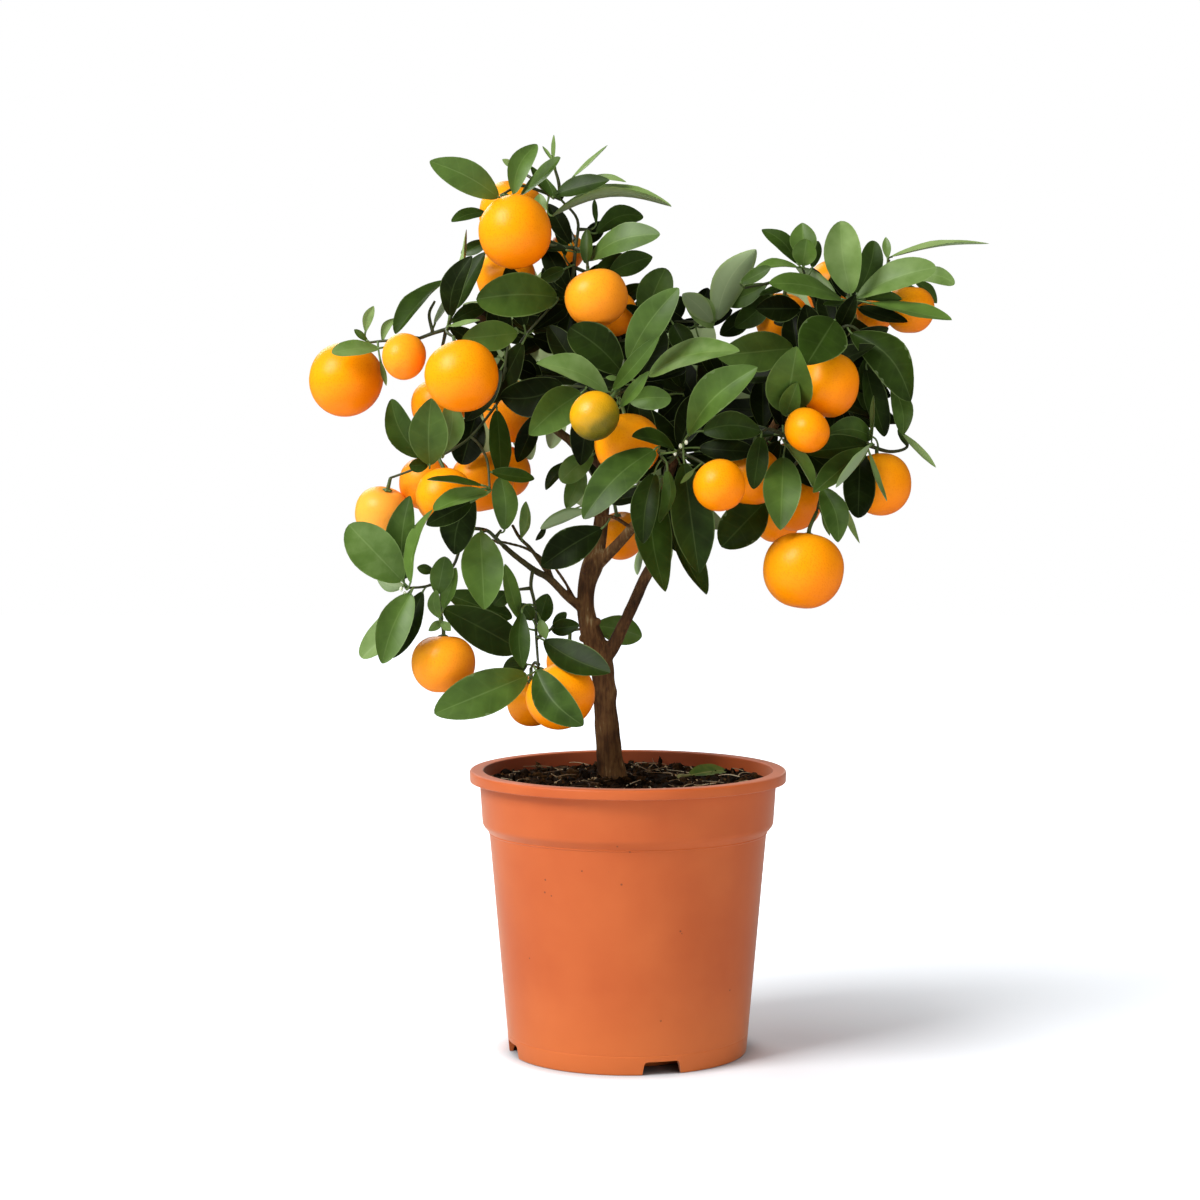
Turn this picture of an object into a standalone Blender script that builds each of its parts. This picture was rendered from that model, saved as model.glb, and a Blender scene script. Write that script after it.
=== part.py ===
"""A calamondin tree in a plastic nursery pot, in metres, +Z up, the front of the pot towards -Y.

The origin is the middle of the pot's underside. The pot and the soil are turned shapes. The wood
is swept tubes, the fruits are ellipsoids hung by their stem ends, and each leafy shoot is one
solid: its twigs, its leaf blades and its fruit stalks fused together.

The crown was laid out from one viewpoint 1.4 m in front of the trunk. Each of its places is
(x, z, depth) in millimetres: where a line of sight crosses the upright plane through the pot's
axis, and how far behind that plane the point lies on that line. A leaf can then move in depth to
clear its neighbours without changing how the front of the tree looks.
"""

from math import acos, cos, pi, radians, sin

import bmesh
import bpy
from mathutils import Matrix, Vector
from mathutils.bvhtree import BVHTree

MM = 0.001
VIEWPOINT = Vector((-15.0, -1400.0, 316.0))
GAP = 0.3  # between pieces that touch

# The pot.
POT_HEIGHT = 153.0
RIM_RADIUS = 85.0
LIP_HEIGHT = 7.5
RIM_EDGE = 1.2  # the rounding of the rim lip's edges
COLLAR_TOP_RADIUS = 79.6
COLLAR_FOOT_RADIUS = 78.2
COLLAR_FOOT_Z = 125.0
STEP_Z = 118.5
WALL_TOP_RADIUS = 74.4
FOOT_RADIUS = 64.0
WALL = 2.0
INSIDE_FOOT_RADIUS = FOOT_RADIUS - WALL + 0.8  # the inside of the wall where it meets the floor
CHANNEL_INNER_RADIUS = 44.0  # the raised channel that the notches open into
CHANNEL_Z = 8.0
POT_SIDES = 36
NOTCH_ANGLES = (15.5, 105.5, 195.5, 285.5)  # from the front, turning towards +X
NOTCH_FOOT_WIDTH = 21.0
NOTCH_TOP_WIDTH = 16.0
NOTCH_HEIGHT = 7.0

SOIL_Z = 146.0
SOIL_SLACK = 0.6  # from the faceted wall, whose flats come nearer than its corners
SOIL_SIDES = 28

FRUIT_SEGMENTS = 10
FRUIT_RINGS = 6
TWIG_RADIUS, BUD_RADIUS = 1.4, 1.0  # at a twig's foot and at its end
TWIG_BUD = 1.5
TWIG_SIDES = 5
LIMB_SIDES, TRUNK_SIDES = 6, 10
STALK_RADIUS = 1.0
PETIOLE_RADIUS = 0.7
LEAF_STATIONS = (0.0, 0.32, 0.74)
LEAF_FOLD = radians(14)
LEAF_ARCH = 0.06  # how far the middle of the midrib rises, for the leaf's length
LEAF_BLUNT = 0.75  # the power of the sine that gives the outline; less is blunter
LEAF_MIDRIB = {"m": 0.9, "y": 0.6, "u": 0.9}  # half the thickness at the midrib
YOUNG_WIDTH, GROWN_WIDTH = 0.24, 0.42  # a leaf is at least this wide for its length

# Wood: (x, z, depth, radius) along each limb, and the node that it grows from.
TRUNK = [
    (-7.0, 118, 0, 8.0), (-7.5, 143, 0, 7.8), (-9.5, 155, 0, 7.2), (-11, 172, 0, 6.6),
    (-12.3, 187, 0, 6.3), (-12.6, 193, 0, 7.0), (-13, 199, 0, 6.1), (-15, 212, 0, 6.5),
    (-20, 226, 0, 5.7), (-22.6, 238, 0, 4.7), (-22, 251, 1, 4.9), (-19, 261, 2, 5.8),
    (-16.5, 270, 3, 4.5), (-14.5, 284, 4, 4.0), (-12.5, 302, 6, 3.5),
]
RIGHT_LIMB = [
    (-15, 208, 0, 4.2), (-8, 218, -1, 3.8), (-3, 228, -1, 3.3), (4, 243, -3, 3.2),
    (11, 258, -4, 3.1), (24, 276, -4, 3.0), (40, 291, -2, 2.9), (58, 308, 2, 2.7),
    (72, 326, 7, 2.5), (84, 345, 8, 2.3), (100, 365, 6, 2.1), (112, 383, 2, 1.9),
    (118, 395, -2, 1.7),
]
CENTRE_LIMB = [
    (-19, 259, 2, 3.6), (-13, 265, 0, 3.3), (-6, 272, -4, 3.0), (2, 281, -10, 2.8),
    (11, 292, -18, 2.6), (20, 305, -27, 2.4), (26, 320, -36, 2.1),
]
LEFT_BRANCH = [
    (-23, 237, 0, 2.8), (-33, 245, -5, 2.3), (-42, 254, -9, 2.0), (-50, 258.5, -12, 1.8),
    (-60, 266, -18, 1.6), (-67, 272, -22, 1.5),
]
LEFT_BRANCH_SIDES = [
    [
        (-38, 250, -7, 1.4), (-45, 260, -3, 1.3), (-52, 270, 1, 1.2), (-58, 276, 5, 1.1),
        (-62, 283, 10, 1.0),
    ],
    [(-50, 258.5, -12, 1.3), (-56, 263, -10, 1.1), (-66, 271.5, -8, 1.0), (-73, 275, -6, 0.9)],
    [(-28, 241, -2, 1.2), (-33, 251, -3, 1.0), (-39, 260, -4, 0.9)],
    [
        (-40, 252, -8, 1.2), (-44.5, 263, 6, 1.1), (-54, 270, 12, 1.0), (-64, 273, 14, 0.9),
        (-71, 274.5, 10, 0.8),
    ],
]
UPPER_LEFT_BRANCH = [
    (-11, 312, 7, 2.8), (-23, 322, 4, 2.5), (-35, 331, 2, 2.4), (-48, 341, -2, 2.2),
    (-60, 350, -6, 2.0), (-72, 366, -10, 1.9), (-82, 380, -16, 1.7), (-94, 388, -22, 1.5),
]
TOP_BRANCH = [
    (-13.2, 296, 5.5, 3.5), (-12, 310, 7, 3.3), (-10.5, 326, 8, 2.9), (-14, 345, 9, 2.6),
    (-20, 370, 10, 2.4), (-27, 395, 8, 2.1), (-30, 410, 6, 1.9),
]
BRANCHES = {  # each branch: its limbs, what carries it, and the leaves that sit on its wood
    "right_limb": ([RIGHT_LIMB], ["trunk"], []),
    "centre_limb": (
        [CENTRE_LIMB, [(2, 281, -10, 1.2), (-8, 287, -22, 1.1), (-20, 288, -32, 1.0)]],
        ["trunk"],
        [
            (-22, 290, -47, 281, 7, -36, -52, "u", -1),
            (-14, 281, -46.5, 260.5, 21, -24, -22, "m", -1),
        ],
    ),
    "left_branch": (
        [LEFT_BRANCH, *LEFT_BRANCH_SIDES],
        ["trunk"],
        [(-57, 276, -54.5, 295.5, 6.5, 2, -6, "m", -1.5)],
    ),
    "upper_branches": (
        [TOP_BRANCH, UPPER_LEFT_BRANCH],
        ["trunk"],
        [
            (-20, 318, -37, 311, 11, -4, -10, "m", -1),
            (-30, 317, -44, 301.5, 7, -2, -6, "m", -2),
            (-25, 310, -33, 291.5, 11, 0, -4, "m", 0),
        ],
    ),
}

# Fruits: number, (x, z, depth), radius across, radius along the stem, the shoot that bears it,
# and for some the way that the stem end points (x, depth, z).
FRUITS = [
    (1, (-60, 438.5, -40), 20.0, 19.5, "top_left", None),
    (2, (-62, 448, 24), 18.0, 18.0, "top_left", None),
    (3, (-65, 414, 22), 16.0, 16.0, "top_left", None),
    (4, (-150.7, 360, -10), 20.2, 19.5, "left_upper", (0.17, 0.55, 0.81)),
    (5, (-119.5, 372.5, -45), 12.1, 12.7, "left_upper", (0.1, 0.7, 0.7)),
    (6, (-88.5, 362, -60), 20.0, 19.0, "left_upper", (-0.2, 0.5, 0.8)),
    (7, (-101, 346, -4), 15.0, 15.0, "left_upper", None),
    (8, (-61, 343.5, 30), 17.0, 17.0, "left_mid", None),
    (9, (-65.5, 311, 36), 14.0, 14.0, "left_mid", (-0.58, -0.72, 0.36)),
    (10, (-78, 306, -4), 17.0, 16.5, "left_mid", None),
    (11, (-98, 297.5, -45), 16.0, 15.6, "left_mid", None),
    (12, (-108, 305, 8), 14.5, 14.5, "left_mid", None),
    (13, (-131.5, 289, 0), 14.8, 14.6, "left_mid", None),
    (14, (-99, 208.3, -36), 17.8, 16.2, "left_outer", (0.0, 0.1, 1.0)),
    (15, (-4, 277, 55), 13.0, 13.0, "back_left", None),
    (16, (-36, 190.7, -46), 19.2, 17.0, "bottom", (-0.5, 0.5, 0.7)),
    (17, (-52, 188, 4), 13.5, 13.5, "bottom", None),
    (18, (-32, 209, 26), 12.0, 12.0, "back_low", None),
    (19, (49, 303.8, -66), 14.2, 13.8, "centre_low", (-0.28, 0.69, 0.66)),
    (20, (94, 258.5, -46), 22.3, 21.0, "right_low", (0.15, 0.15, 0.97)),
    (21, (66, 309, -30), 16.0, 16.0, "right_low", None),
    (22, (89, 294, -6), 14.5, 14.5, "right_low", None),
    (23, (79.5, 286, 40), 13.0, 13.0, "back_right", None),
    (24, (135, 304.5, -26), 17.0, 17.0, "right_outer", None),
    (25, (107.5, 357.5, -45), 16.0, 17.8, "right_mid", None),
    (26, (95.7, 333.3, -62), 11.8, 13.3, "right_mid", None),
    (27, (86, 314, 22), 13.0, 13.0, "back_right", None),
    (28, (82, 392, 30), 14.5, 14.5, "right_top_left", None),
    (29, (111, 408, 40), 16.5, 16.5, "right_top", None),
    (31, (150, 397.5, 4), 13.5, 13.0, "right_top", None),
    (32, (132, 396.5, 25), 10.5, 10.5, "right_top", None),
    (33, (-18, 341, -76), 13.5, 13.2, "centre", (0.56, 0.57, 0.6)),
    (34, (-0.5, 325.5, -46), 18.0, 17.0, "centre", (-0.1, 0.3, 0.95)),
    (35, (-17, 403.5, -36), 17.2, 15.5, "top_left", (-0.27, 0.2, 0.94)),
    (36, (-8, 396, 16), 13.0, 13.0, "top_centre", None),
    (37, (-33, 428, 36), 10.0, 10.0, "top_left", None),
]

# Shoots: the branch that each grows from, its twigs as (x, z, depth) chains, and its leaves.
# A leaf is (base x, base z, tip x, tip z, width seen, base depth, tip depth, kind, bow):
# kind is m for a mature leaf, y for a young narrow one, u for one that shows its underside, and
# bow is how far its middle swings off the straight line, to the left going from base to tip.
SHOOTS = {
    "top_left": (
        "upper_branches",
        [
            [(-30, 410, 6), (-28, 430, 5), (-27, 445, 4), (-36, 456, 1)],
            [(-36, 456, 1), (-46, 460, -10), (-57, 463, -24), (-68, 458, -32)],
            [(-36, 456, 1), (-37, 465, -2), (-39, 472, -3), (-40, 476, -4)],
            [(-36, 456, 1), (-30, 465, -4), (-20, 467.5, -6)],
            [(-28, 430, 5), (-45, 432, 1), (-60, 434, -3), (-74, 434, 0)],
            [(-42, 458, -5), (-50, 466, 10), (-58, 471, 16)],
            [(-28, 430, 5), (-24, 428, -12), (-22, 424, -26), (-21.5, 420, -34)],
            [(-29, 420, 6), (-18, 416, 12), (-8, 415, 16)],
            [(-27, 440, 4), (-20, 440, 8)],
            [(-28, 433, 5), (-31, 440, 24)],
        ],
        [
            (-69, 457, -105.5, 476, 17.5, -36, -50, "m", -2),
            (-61, 459, -48.5, 485, 12.5, -32, -28, "m", 3.5),
            (-76, 449, -94, 444, 7, -10, -22, "u", -1.7),
            (-57, 458, -36, 478, 6, -34, -42, "m", 0),
            (-40, 457, -52, 473.5, 6, -12, -8, "m", 1),
            (-36, 456, -48, 469, 5, -2, -6, "m", 0),
            (-38, 459, -10, 466, 10.5, -4, -14, "m", 1),
            (-29, 468, -11, 484.5, 2.5, -6, -12, "y", 0),
            (-18, 468, -1, 465, 3.5, -6, -10, "y", 1),
            (-40, 447, 23, 452, 4, -4, -22, "u", 9.5),
            (-47, 446, -47, 459, 8, 6, 10, "y", 0),
            (-40, 476, -39.5, 490, 2.5, -4, -6, "y", 0),
            (-40, 476, -45.5, 484, 2, -4, -2, "y", 0),
            (-60, 473, -67, 477, 4, 14, 12, "y", 0),
            (-74, 434, -89, 427, 8, 2, 4, "m", 0),
            (-17, 438, 8, 447, 12, 10, 22, "m", 4.5),
            (-21, 424, 17, 437.5, 14, -24, -44, "m", 5),
            (-22, 422, -22, 440, 7, -28, -24, "m", 0),
            (-10, 417, 13, 425.5, 14, 14, 18, "m", 1),
            (-34, 426, -38, 448, 7, 8, 14, "m", 0),
            (-34, 419, -47, 413, 8, 2, -6, "m", 0),
            (-17, 443, -18, 456, 3, 8, 8, "m", 0),
            (-18, 418, 2, 423, 12, 16, 22, "m", 1),
        ],
    ),
    "top_centre": (
        "upper_branches",
        [
            [(-20, 370, 10), (-4, 380, 22), (10, 388, 26), (22, 391, 22), (44, 391, 18)],
            [(-4, 380, 22), (-6, 390, 32)],
        ],
        [
            (9, 392, 20, 419.5, 20, 18, 10, "m", 1),
            (45, 391, 29, 406, 10, 14, -4, "u", -1),
            (47, 392, 68, 429.5, 19, 16, 6, "u", 4.5),
            (49, 392, 58, 409, 10, 24, 30, "m", -1),
            (24, 390, 34, 372, 14, 14, 6, "m", 0),
            (-8, 400, 8, 411, 11, 22, 26, "m", 0),
        ],
    ),
    "centre": (
        "upper_branches",
        [
            [(-14, 345, 9), (-9, 351, -8), (-7, 353, -28), (-5, 351, -48)],
            [(-5, 351, -48), (-4, 361, -52), (-2, 371, -52)],
            [(-8, 353, -22), (-20, 356, -28), (-34, 357, -30)],
            [(-7, 352, -30), (4, 358, -36), (11, 362, -42)],
        ],
        [
            (0, 371, 27, 409, 18.5, -54, -66, "m", 2.5),
            (-8, 355, 17, 384, 9.5, -58, -80, "y", 0),
            (-4, 346, 11, 365, 7, -62, -76, "y", 0),
            (1, 349, 23, 350.5, 13, -58, -68, "m", 1),
            (-11, 354, -49, 369, 14.5, -60, -76, "m", -4),
            (-5, 361, -12, 361.5, 3, -54, -56, "y", 0),
            (-3, 364, -31, 388, 22, -40, -30, "m", -2),
            (-25, 353, -53, 331, 22, -44, -62, "m", -1.5),
            (11, 363, 59.5, 375.5, 14.5, -46, -70, "m", 5.5),
            (-35, 357, -68, 351, 22, -28, -22, "m", 3),
            (30, 352, 16, 338, 13, 24, 26, "m", 0),
        ],
    ),
    "centre_low": (
        "centre_limb",
        [
            [(26, 320, -36), (27, 322, -39), (29, 326, -43), (32, 330, -46)],
            [(27, 322, -39), (21, 316, -46), (16, 322, -56)],
            [(21, 316, -46), (19, 309, -42)],
            [(27, 322, -39), (31, 314, -36), (30, 302, -26)],
            [(27, 322, -39), (36, 318, -46), (43, 314, -54)],
        ],
        [
            (32, 331, 70, 366.5, 19, -48, -78, "m", 5),
            (25, 323, 2, 330, 8.5, -64, -86, "m", -2.5),
            (14, 323, -24, 286, 20, -70, -88, "m", -4),
            (14, 310, 8, 273, 15, -52, -62, "m", -2),
            (14, 306, 20, 247, 20, -40, -44, "m", -3),
            (30, 316, 38, 257, 26, -50, -56, "m", 0),
            (30, 300, 42, 245.5, 16.5, -22, -18, "m", -6),
            (35, 312, 28, 305, 3, -54, -60, "y", 0),
            (40, 333, 71, 333, 16, -38, -44, "m", 3),
            (38, 324, 68, 322, 12, -36, -28, "m", 0),
            (21, 312, 17, 284, 8, -56, -60, "m", 3),
            (8, 272, 5, 256, 4, -40, -38, "u", 0),
            (-44, 283.5, -49.5, 274.5, 3.5, -6, -4, "m", 1),
        ],
    ),
    "left_upper": (
        "upper_branches",
        [
            [(-94, 388, -22), (-104, 385, -24), (-116, 381, -20), (-129, 381, -10), (-139, 380, -3)],
            [(-95.5, 387.6, -22.2), (-95, 392, -27), (-93, 396, -27)],
            [(-104, 385, -24), (-106, 395, -22), (-103, 402, -20)],
            [(-97, 387, -22), (-99, 378, -18), (-102, 366, -12)],
            [(-95, 392, -27), (-94, 402, -14), (-94, 412, -8)],
            [(-97, 387, -22), (-96, 385, -36), (-93, 383, -44)],
        ],
        [
            (-92, 398, -76, 428, 11, -24, -34, "m", 1.5),
            (-95, 394, -83, 426, 13, -32, -44, "m", 4),
            (-103, 390, -86, 440, 4.5, -20, -16, "u", -4),
            (-97, 413, -124, 384.5, 9, -8, -30, "m", -3),
            (-95, 389, -79, 392, 3, -36, -52, "y", 0),
            (-133, 377, -158, 374.5, 8.5, -24, -36, "m", -1.5),
            (-131, 381, -124, 393, 5, -8, -4, "y", 2),
            (-140, 386, -135.5, 399.5, 6, -2, 0, "y", 1),
            (-139, 381, -146, 387, 4, -4, -4, "m", 0),
            (-132, 370, -129, 357, 3, -8, -10, "y", 0),
            (-94, 391, -76, 399, 9, -18, -12, "m", 1),
        ],
    ),
    "left_mid": (
        "upper_branches",
        [
            [(-66, 358, -8), (-68, 351, -11), (-74, 342, -16), (-84, 330, -22), (-94, 323, -28),
             (-106, 317, -28), (-116, 312, -18), (-127, 308, -6)],
            [(-68, 351, -11), (-66, 352, 6), (-61, 364, 25)],
            [(-84, 330, -22), (-82, 327, 0), (-80, 320, 19)],
            [(-84, 330, -22), (-79, 325, -30), (-75, 316, -42), (-74, 302, -54)],
            [(-106, 317, -28), (-106, 323, -12), (-107, 324, 4)],
            [(-68, 351, -11), (-66, 364, -22), (-64, 378, -24), (-60, 388, -26)],
            [(-66, 364, -22), (-56, 382, -20), (-42, 398, -16)],
        ],
        [
            (-110, 319, -126.5, 350, 16, -22, -26, "m", 3.5),
            (-106, 315, -105, 350.5, 22, -38, -46, "m", 1),
            (-95, 324, -103, 350, 8, -38, -40, "u", -4),
            (-107, 315, -117, 314.5, 8, -36, -40, "m", 0),
            (-70, 344, -68, 306, 12.5, -22, -30, "m", 1),
            (-73, 311, -50, 307.5, 8, -46, -40, "m", 0),
            (-81, 342, -89, 315, 19, -14, -14, "m", 0),
            (-78, 304, -107.5, 307, 4.5, -60, -76, "m", -1),
            (-75, 300, -104, 290.5, 10, -60, -76, "m", -2),
            (-83, 298, -93, 267, 19, -64, -56, "m", -3),
            (-59, 385, -88.5, 382, 16.5, -30, -56, "m", 0),
            (-38, 404, -81, 403, 25, -20, -44, "m", -2),
            (-84, 295, -108, 283, 12, -58, -50, "m", 0),
        ],
    ),
    "left_outer": (
        "left_branch",
        [
            [(-67, 272, -22), (-71, 276, -24.5), (-76, 280, -27), (-85, 280, -31), (-90, 270, -35),
             (-93, 262, -38), (-99, 254, -40), (-108, 250, -42), (-119, 249, -44)],
            [(-99, 254, -40), (-100, 244, -40), (-100, 236, -38), (-99.5, 229, -36)],
            [(-76, 280, -27), (-78, 279, -38)],
            [(-71, 276, -24.5), (-68, 280, -28)],
        ],
        [
            (-121, 253, -149.5, 281, 23.5, -48, -60, "m", 0),
            (-120, 254, -116.5, 298.5, 17, -46, -52, "m", 3),
            (-116.5, 252, -104.5, 291, 7.5, -48, -56, "m", 4.5),
            (-116.5, 246, -132, 208.5, 19, -50, -60, "m", -2),
            (-118, 246, -143, 211.5, 14, -46, -46, "m", 2),
            (-110, 247, -126, 211.5, 14, -38, -36, "m", 0),
            (-120, 250, -135, 256, 8, -40, -34, "u", 2),
            (-104, 258, -113, 260, 6, -34, -34, "m", 0),
            (-102, 246, -98, 266, 13, -46, -50, "m", 0),
            (-99, 238, -92, 260, 7, -44, -50, "m", 0),
            (-101, 233, -103, 248, 6, -46, -50, "m", 2),
            (-100, 231, -107, 226, 5, -40, -44, "y", 0),
            (-100, 231, -95, 226, 5, -40, -44, "y", 0),
            (-79, 279, -77, 237.5, 23.5, -42, -54, "m", 0),
            (-66, 280.5, -68, 308.5, 14.5, -30, -36, "m", -1.5),
            (-99, 238, -58, 216, 22, -20, -14, "m", 0.5),
            (-97, 246, -62, 233, 15, -10, -8, "m", 0),
        ],
    ),
    "bottom": (
        "left_branch",
        [
            [(-51, 259, -13), (-52, 250, -20), (-50, 240, -25), (-49, 220, -29), (-48, 206, -34)],
            [(-52, 249, -20), (-61, 248, -22)],
            [(-49, 222, -28), (-44, 225, -22), (-40, 228, -16)],
            [(-48, 208, -33), (-50, 209, -16), (-52, 206, -4)],
        ],
        [
            (-49, 204.5, -24, 175, 20, -58, -74, "m", -4.5),
            (-54, 202, -104, 181.5, 24.5, -42, -62, "m", 0),
            (-56, 206, -66, 260, 11, -40, -46, "m", 1.5),
            (-45, 221, -9.5, 203.5, 17.5, -34, -44, "m", -1.5),
            (-48, 230, -43, 246, 12, -22, -20, "m", 0),
            (-40, 229, -33, 236, 6, -14, -12, "m", 0),
            (-41, 227, -26, 229, 10, -14, -12, "m", 0),
            (-47, 232, -44, 221.5, 6, -34, -38, "y", 0),
            (-51, 232, -57, 241, 8, -30, -34, "m", 0),
            (-54, 208, -67, 206, 12, -8, -8, "m", 0),
            (-65, 247, -72, 240, 10, -24, -24, "m", 0),
        ],
    ),
    "back_low": (
        "trunk",
        [
            [(-18, 221, 0), (-20, 224, 11), (-24, 227, 18), (-31, 226, 24)],
            [(-20, 224, 11), (-18, 230, 17)],
        ],
        [(-18, 229, 7.5, 223, 17, 20, 26, "m", 1)],
    ),
    "right_top": (
        "right_limb",
        [
            [(118, 395, -2), (119, 399, -4), (119, 403, -8)],
            [(119, 399, -4), (128, 404, 2), (140, 411, 6), (150, 413.5, 4)],
            [(119, 399, -4), (115, 414, 14), (112, 428, 34)],
            [(128, 404, 2), (132, 411, 22), (133, 413, 36)],
            [(128, 404, 2), (135, 415, 4), (139, 424, 2)],
        ],
        [
            (122, 404, 164, 420, 15, -12, -26, "m", 3.3),
            (151, 414, 174, 411.5, 9, 0, -8, "m", 3.5),
            (118.5, 406, 113, 444.5, 22, -16, -22, "m", 1.5),
            (122, 406, 131, 434, 13.5, -10, -8, "m", -2),
            (138, 425, 137, 436, 5, 4, 6, "y", 0),
            (140, 425.5, 192, 432.5, 3.2, -2, -14, "y", 3),
            (114, 403, 75, 411.5, 10.5, -16, -40, "m", -4),
            (111, 403, 89, 420, 9, 0, 6, "u", 0),
            (117, 401, 104, 400, 4, -12, -22, "m", 0),
            (129, 401, 172.5, 392, 7, -18, -40, "m", 1),
            (126, 403, 146, 403, 6, -12, -18, "m", 1),
            (152, 413, 164.5, 401, 6, 8, 14, "m", 2),
        ],
    ),
    "right_top_left": (
        "right_limb",
        [
            [(112, 383, 2), (103, 392, 10), (97, 407, 6), (93, 419, -3)],
            [(97, 407, 6), (84, 413, 6), (72, 411, 0), (62, 409, -6)],
            [(101, 397, 9), (94, 399, -8)],
            [(90, 410.5, 6), (84, 412, 22)],
        ],
        [
            (90, 422, 71, 440, 9.5, -2, 6, "m", -3.3),
            (94, 424, 92.5, 443.5, 15.5, -2, 6, "m", 0),
            (93, 421, 95, 435, 14, -10, -18, "m", 0),
            (98, 420, 101, 434, 7, 2, 6, "m", 0),
            (90, 420, 66, 417, 5.5, -6, -12, "u", -3),
            (60, 412, 76, 420, 7, -8, -14, "m", 0),
            (84, 410, 70, 405, 5, -2, -8, "m", 0),
            (92, 398, 68, 398, 16, -12, -18, "m", 0),
            (74, 411, 50, 401, 12, 12, 20, "m", 1),
            (76, 405, 57, 388, 14, 16, 24, "m", 1),
            (66, 398, 49, 384, 12, 26, 30, "m", 1),
        ],
    ),
    "right_mid": (
        "right_limb",
        [
            [(100, 365, 6), (101, 370, -10), (104, 380, -24), (110, 389, -36)],
            [(101, 370, -10), (109, 383, -14), (118, 389, -20), (128, 380, -18), (138, 360, -14)],
            [(101, 370, -10), (92, 364, -14), (86, 352, -26), (84, 345, -38), (85, 342, -46)],
        ],
        [
            (110, 392, 95, 369, 29, -40, -68, "m", 0),
            (119, 385, 154, 348, 23, -22, -34, "m", 8),
            (141, 357, 147, 331, 9.5, -14, -18, "m", 2.5),
            (127, 372, 127, 344, 11, -18, -18, "m", 0),
            (134, 356, 131, 328, 10, -8, -6, "m", 0),
            (88, 377, 52, 372.5, 23, -8, -20, "m", 0),
            (84, 343, 90, 378, 26, -40, -46, "m", 0),
            (84, 341, 90.5, 359, 11.5, -54, -62, "m", 0),
        ],
    ),
    "right_low": (
        "right_limb",
        [
            [(72, 326, 7), (77, 331, -8), (83, 331, -26), (84, 327, -32)],
            [(83, 331, -26), (75, 334, -28), (68, 331, -30)],
            [(84, 327, -32), (95, 317, -32), (103, 304, -34), (101, 290, -38)],
            [(95, 317, -32), (90, 316, -22), (81, 306, -20), (72, 298, -6)],
        ],
        [
            (73, 295, 50, 271, 25, -10, -20, "m", 0),
            (83, 319, 81.5, 280, 22, -40, -62, "m", 0),
            (104, 302, 112.5, 273.5, 14.5, -42, -50, "m", 3),
            (104, 288, 108, 277, 3, -40, -44, "y", 0),
            (114, 296, 124, 273, 4, -32, -26, "y", 0),
            (84, 326, 99, 302.5, 7, -48, -58, "m", 2),
            (71, 330, 67, 302, 12, -42, -50, "m", 0),
        ],
    ),
    "right_outer": (
        "right_limb",
        [
            [(100, 365, 6), (113, 350, -2), (123, 336, -12), (129, 325, -20)],
            [(129, 325, -20), (140, 322, -18), (149, 324.5, -17)],
        ],
        [
            (130, 330, 105, 331, 14, -22, -34, "m", -3.5),
            (124, 322, 123, 286.5, 18, -36, -48, "m", 0),
            (128, 324, 99, 300, 13, -46, -62, "m", -1),
            (128, 326, 93, 322, 13, -32, -44, "m", 0),
            (129, 321, 138.5, 295.5, 3, -42, -50, "y", -1),
            (149, 325, 144, 334, 3, -16, -14, "m", 0),
            (149, 324.5, 165, 312.5, 3, -18, -26, "y", 1),
            (129, 325, 111, 303, 3, -54, -62, "u", 0.5),
            (130, 326, 131, 352, 2.2, -24, -20, "y", 0),
        ],
    ),
    "back_left": (
        "trunk",
        [
            [(-13, 296, 5), (-16, 304, 30), (-26, 320, 52), (-44, 338, 70), (-64, 352, 84)],
            [(-16, 304, 30), (-8, 298, 46)],
            [(-26, 320, 52), (-33, 354, 72), (-46, 384, 84)],
            [(-44, 338, 70), (-62, 336, 66), (-80, 346, 70)],
        ],
        [],
    ),
    "back_right": (
        "right_limb",
        [
            [(40, 291, -2), (46, 302, 26), (56, 322, 52), (76, 342, 72)],
            [(56, 322, 52), (42, 340, 74), (30, 356, 86)],
            [(76, 342, 72), (92, 362, 76), (96, 380, 72)],
            [(50, 310, 36), (66, 304, 42), (80, 303, 42)],
            [(46, 302, 26), (26, 300, 44), (10, 302, 60)],
        ],
        [],
    ),
}
FALLEN_LEAF = (34, 148.3, 52, 149.8, 8, 12, 30, "m", 1)
FALLEN_LEAF_STEM = (27.5, 145.8, -10)
BACK_ROSETTES = {  # at (x, z, depth): how many leaves, and their length
    "back_left": [
        (-64, 352, 84, 6, 34), (-46, 384, 84, 7, 46), (-80, 346, 70, 6, 32), (-33, 354, 72, 5, 28),
    ],
    "back_right": [
        (76, 342, 72, 7, 46), (30, 356, 86, 7, 48), (96, 380, 72, 7, 44), (10, 302, 60, 6, 44),
    ],
}
GOLDEN_ANGLE = pi * (3 - 5**0.5)

BASE_SHIFTS = (0, -4, 4, -9, 9, -15, 15)
TIP_SHIFTS = (0, -6, 6, -12, 12, -19, 19, -28, 28)
LEAF_SHIFTS = sorted(
    ((base, tip) for base in BASE_SHIFTS for tip in TIP_SHIFTS),
    key=lambda shift: (2 * abs(shift[0]) + abs(shift[1]), shift),
)


def clear_scene():
    for obj in list(bpy.data.objects):
        bpy.data.objects.remove(obj)


def linear(channel):
    return channel / 12.92 if channel <= 0.04045 else ((channel + 0.055) / 1.055) ** 2.4


def material(name, colour, roughness):
    """A Principled material of one colour, given as an sRGB hex number."""
    made = bpy.data.materials.new(name)
    made.use_nodes = True
    shader = made.node_tree.nodes["Principled BSDF"]
    channels = [linear((colour >> bits & 255) / 255) for bits in (16, 8, 0)]
    shader.inputs["Base Color"].default_value = (*channels, 1)
    shader.inputs["Roughness"].default_value = roughness
    made.diffuse_color = (*channels, 1)
    return made


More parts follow.
